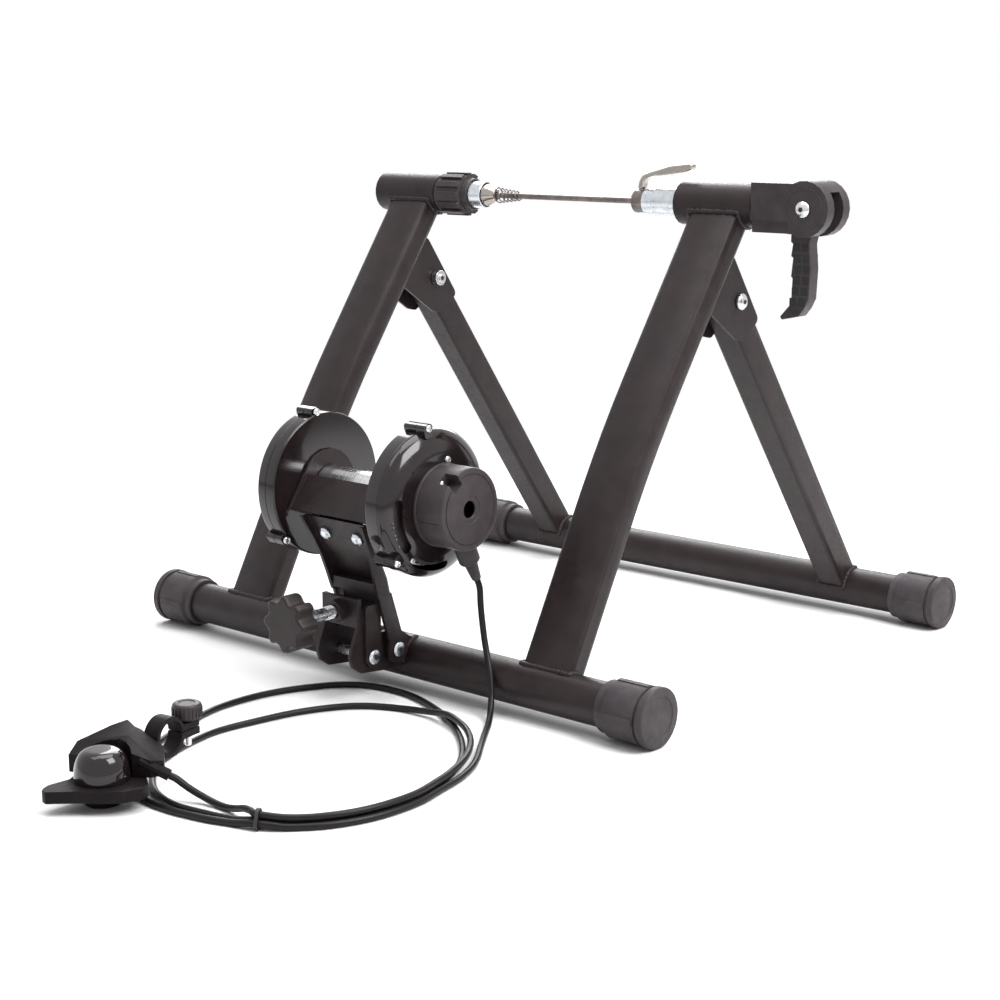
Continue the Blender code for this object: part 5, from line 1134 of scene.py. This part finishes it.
class TRAINER_OT_plain_pieces(bpy.types.Operator):
    """Every piece that keeps the shape of its solid, with rounded edges and its finish"""
    bl_idname = "trainer.plain_pieces"
    bl_label = "Plain pieces"

    # Widths of the rounded edges where they differ from the usual one
    edges = {
        "roller": 0.0008, "star_knob": 0.0010, "cable_boot": 0.0008, "skewer_spring": 0.0,
        "spindle_spring": 0.0, "clamp_lever": 0.0009, "cam_housing": 0.0012, "axle_cone": 0.0006,
    }
    # Finishes that differ from the one of the node's slot
    finishes = {"skewer_rod": "dark_steel", "skewer_spring": "dark_steel", "star_knob": "frame_black"}

    def execute(self, context):
        for node, source in sorted(frame["nodes"].items()):
            if not source.hide_render:
                dressed(node, self.edges.get(node), self.finishes.get(node))
        return {"FINISHED"}


class TRAINER_OT_bolts(bpy.types.Operator):
    """Round bolts with soft heads and sockets of painted shade, and the ring round the cam bolt"""
    bl_idname = "trainer.bolts"
    bl_label = "Bolts"

    def execute(self, context):
        for node in ("arm_pivot_bolt", "link_pivot_bolt", "hinge_bolt_left", "hinge_bolt_right"):
            self.bolt(node, X, 1)
        front = self.bolt("cam_pivot_bolt", Y, -1)
        profile = [(-0.0006, 0.0148), (0.00025, 0.0152), (0.00025, 0.0168), (-0.0006, 0.0172)]
        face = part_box("cam_housing")[0].y
        ring = lathe(profile, Vector((front.x, face, front.z)), -Y)
        made(ring, "cam_ring", BODY_OF["cam_housing"], "satin_black")
        return {"FINISHED"}

    def bolt(self, node, axis, seen):
        """A finely turned bolt from the solid's own outline, with a flat near-black hexagon of painted shade
        for the socket in the end that shows.
        """
        low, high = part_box(node)
        middle = middle_of(node)
        reach = min((high - low)[k] for k in range(3) if abs(axis[k]) < 0.5) / 2
        rows = {}
        for vertex in frame["nodes"][node].data.vertices:
            offset = vertex.co - middle
            along = offset.dot(axis)
            rows.setdefault(round(along, 4), set()).add(round((offset - axis * along).length, 4))
        scale = reach / max(max(radii) for radii in rows.values())
        profile = [(min(rows), 0)]
        for along in sorted(rows):
            radii = sorted(radius * scale for radius in rows[along] if radius > 0.0002)
            last = profile[-1][1]
            if abs(radii[-1] - last) < abs(radii[0] - last):
                radii.reverse()
            profile += [(along, radius) for radius in radii]
        profile.append((max(rows), 0))
        body, slot = BODY_OF[node], SLOT_OF[node]
        shape = lathe(profile, middle, axis, 40)
        made(shape, f"{node}_round", body, slot, [node], edge=0.0007, segments=3)
        end = max(rows) if seen > 0 else min(rows)
        corners = [polar(0.0021, math.pi * k / 3) for k in range(6)]
        place = directed(*across(axis), axis * seen, middle + axis * end)
        # The socket is a thin hexagon a hair proud of the end, painted near-black for the shade inside a real
        # socket
        socket = slab(corners, place, -0.0006, 0.00012)
        made(socket, f"{node}_socket", body, "painted_shade_black", slot=slot)
        return middle


class TRAINER_OT_lock_ring(bpy.types.Operator):
    """Lock ring of the axle cone with its grip ribs"""
    bl_idname = "trainer.lock_ring"
    bl_label = "Lock ring"

    def execute(self, context):
        low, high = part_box("lock_ring")
        base = Vector((low.x, *AXLE.yz))
        long, top = high.x - low.x, (high.z - low.z) / 2
        bore = min(
            math.hypot(vertex.co.y - AXLE.y, vertex.co.z - AXLE.z)
            for vertex in frame["nodes"]["lock_ring"].data.vertices)
        root, end, rib_start, rib, count = top - 0.0023, long - 0.007, 0.0034, 0.0027, 12
        profile = [
            (0, root - 0.0004), (0.0030, root - 0.0004), (0.0032, root), (end, root), (end + 0.0003, 0.0145),
            (long - 0.0007, 0.0140), (long, 0.0133), (long, bore), (0, bore)]
        made(lathe(profile, base, X, 96), "lock_ring_finish", "lock_ring", "satin_black", ["lock_ring"])
        outline = soft_outline(corners_of((rib_start, -rib), (end, rib)), 0.0012)
        template = slab(outline, directed(X, Y, Z), root - 0.0006, top - 0.0002)
        ribs = scattered("lock_ring_ribs", template, turned_about(base, X, count), "satin_black")
        settled(rounded_edges(ribs, 0.0006), "lock_ring")
        return {"FINISHED"}


class TRAINER_OT_skewer_paddle(bpy.types.Operator):
    """Chrome quick release lever with its curved stem and flat paddle"""
    bl_idname = "trainer.skewer_paddle"
    bl_label = "Skewer paddle"

    def execute(self, context):
        low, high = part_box("skewer_lever")
        foot = Vector((low.x + 0.0042, middle_of("skewer_lever").y, high.z - 0.0218))
        tall, pin, half = foot.z + 0.001 - low.z, 0.0026, 0.0036
        shape = lathe([(0, 0), (0, pin), (tall, pin), (tall, 0)], Vector((foot.x, foot.y, low.z)), Z, 32)
        made(shape, "skewer_cam", "skewer_lever", "chrome")
        stem = [
            (-0.0026, 0.0), (0.0026, 0.0), (0.0034, 0.0060), (0.0062, 0.0092), (0.0120, 0.0108),
            (0.0230, 0.0118), (0.0460, 0.0150), (0.0512, 0.0172), (0.0520, 0.0204), (0.0500, 0.0217),
            (0.0300, 0.0196), (0.0090, 0.0140), (0.0018, 0.0116), (-0.0016, 0.0060)]
        shape = slab(soft_outline(stem, 0.002), directed(X, Z, Y, foot), -half, half)
        made(shape, "skewer_paddle", "skewer_lever", "chrome", ["skewer_lever"], edge=0.0016, segments=4)
        return {"FINISHED"}


class TRAINER_OT_stage(bpy.types.Operator):
    """Pale floor, white surround, soft lamps and the photograph's camera"""
    bl_idname = "trainer.stage"
    bl_label = "Stage"

    def execute(self, context):
        scene = context.scene
        mesh = bpy.data.meshes.new("floor")
        corners = corners_of((-FLOOR_HALF, -FLOOR_HALF), (FLOOR_HALF, FLOOR_HALF))
        mesh.from_pydata([(x, y, 0) for x, y in corners], [], [(0, 1, 2, 3)])
        mesh.materials.append(self.paper())
        shown("floor", mesh)
        self.surround(scene)
        for name, place, size, power in LAMPS:
            light = bpy.data.lights.new(name, "AREA")
            light.size = size
            light.energy = power
            lamp = shown(name, light)
            lamp.location = place
            lamp.rotation_euler = (Vector(LAMP_AIM) - Vector(place)).to_track_quat("-Z", "Y").to_euler()
        lens = bpy.data.cameras.new("camera")
        lens.lens = CAMERA_LENS
        lens.sensor_width = SENSOR
        lens.shift_x, lens.shift_y = CAMERA_SHIFT
        camera = shown("camera", lens)
        camera.location = CAMERA_PLACE
        camera.rotation_euler = [math.radians(angle) for angle in CAMERA_TURN]
        scene.camera = camera
        scene.view_settings.view_transform = "Standard"
        return {"FINISHED"}

    def paper(self):
        """Pale floor that keeps the object's shadow, fading into the white of the surround far away."""
        shader = Shader("paper")
        shader.set(Base_Color=(*colours().floor, 1), Roughness=0.9, Specular_IOR_Level=0.0)
        nodes, links = shader.nodes, shader.links
        away = shader.add("ShaderNodeVectorMath")
        away.operation = "LENGTH"
        links.new(shader.coordinates, away.inputs[0])
        fade = shader.spread(away.outputs["Value"], 0.0, 1.0, *FLOOR_FADE)
        path = nodes.new("ShaderNodeLightPath")
        share = nodes.new("ShaderNodeMath")
        share.operation = "MULTIPLY"
        links.new(path.outputs["Is Camera Ray"], share.inputs[0])
        links.new(fade, share.inputs[1])
        white = nodes.new("ShaderNodeEmission")
        mix = nodes.new("ShaderNodeMixShader")
        links.new(share.outputs["Value"], mix.inputs["Fac"])
        links.new(shader.main.outputs["BSDF"], mix.inputs[1])
        links.new(white.outputs["Emission"], mix.inputs[2])
        links.new(mix.outputs["Shader"], nodes["Material Output"].inputs["Surface"])
        return shader.material

    def surround(self, scene):
        """A plain pale world that the camera sees as white."""
        world = bpy.data.worlds.new("surround")
        world.use_nodes = True
        scene.world = world
        nodes, links = world.node_tree.nodes, world.node_tree.links
        glow = nodes["Background"]
        white = nodes.new("ShaderNodeBackground")
        for background, strength in ((glow, GLOW), (white, 1.0)):
            fill(background, {"Color": (1, 1, 1, 1), "Strength": strength})
        path = nodes.new("ShaderNodeLightPath")
        mix = nodes.new("ShaderNodeMixShader")
        seen = path.outputs["Is Camera Ray"]
        for ray in ("Is Glossy Ray", "Is Transmission Ray"):
            either = nodes.new("ShaderNodeMath")
            either.operation = "MAXIMUM"
            links.new(seen, either.inputs[0])
            links.new(path.outputs[ray], either.inputs[1])
            seen = either.outputs["Value"]
        links.new(seen, mix.inputs["Fac"])
        links.new(glow.outputs["Background"], mix.inputs[1])
        links.new(white.outputs["Background"], mix.inputs[2])
        links.new(mix.outputs["Shader"], nodes["World Output"].inputs["Surface"])


PIECES = [
    TRAINER_OT_drums, TRAINER_OT_foot_caps, TRAINER_OT_welds, TRAINER_OT_lever_grip, TRAINER_OT_clamp_screw,
    TRAINER_OT_cable, TRAINER_OT_shifter, TRAINER_OT_threads, TRAINER_OT_bolts, TRAINER_OT_lock_ring,
    TRAINER_OT_skewer_paddle, TRAINER_OT_plain_pieces, TRAINER_OT_stage,
]


class TRAINER_PT_panel(bpy.types.Panel):
    """Buttons and settings of the trainer's finish"""
    bl_label = "Bike trainer"
    bl_idname = "TRAINER_PT_panel"
    bl_space_type = "VIEW_3D"
    bl_region_type = "UI"
    bl_category = "Trainer"

    def draw(self, context):
        for group in (context.scene.trainer_sizes, context.scene.trainer_colours):
            box = self.layout.box()
            for name in group.__annotations__:
                box.prop(group, name)
        column = self.layout.column()
        for piece in PIECES:
            column.operator(piece.bl_idname)


CLASSES = [TrainerSizes, TrainerColours, *PIECES, TRAINER_PT_panel]


def register():
    for item in CLASSES:
        bpy.utils.register_class(item)
    bpy.types.Scene.trainer_sizes = PointerProperty(type=TrainerSizes)
    bpy.types.Scene.trainer_colours = PointerProperty(type=TrainerColours)


def unregister():
    del bpy.types.Scene.trainer_sizes
    del bpy.types.Scene.trainer_colours
    for item in reversed(CLASSES):
        bpy.utils.unregister_class(item)


def main():
    register()
    for piece in PIECES:
        group, name = piece.bl_idname.split(".")
        getattr(getattr(bpy.ops, group), name)()


if __name__ == "__main__":
    main()
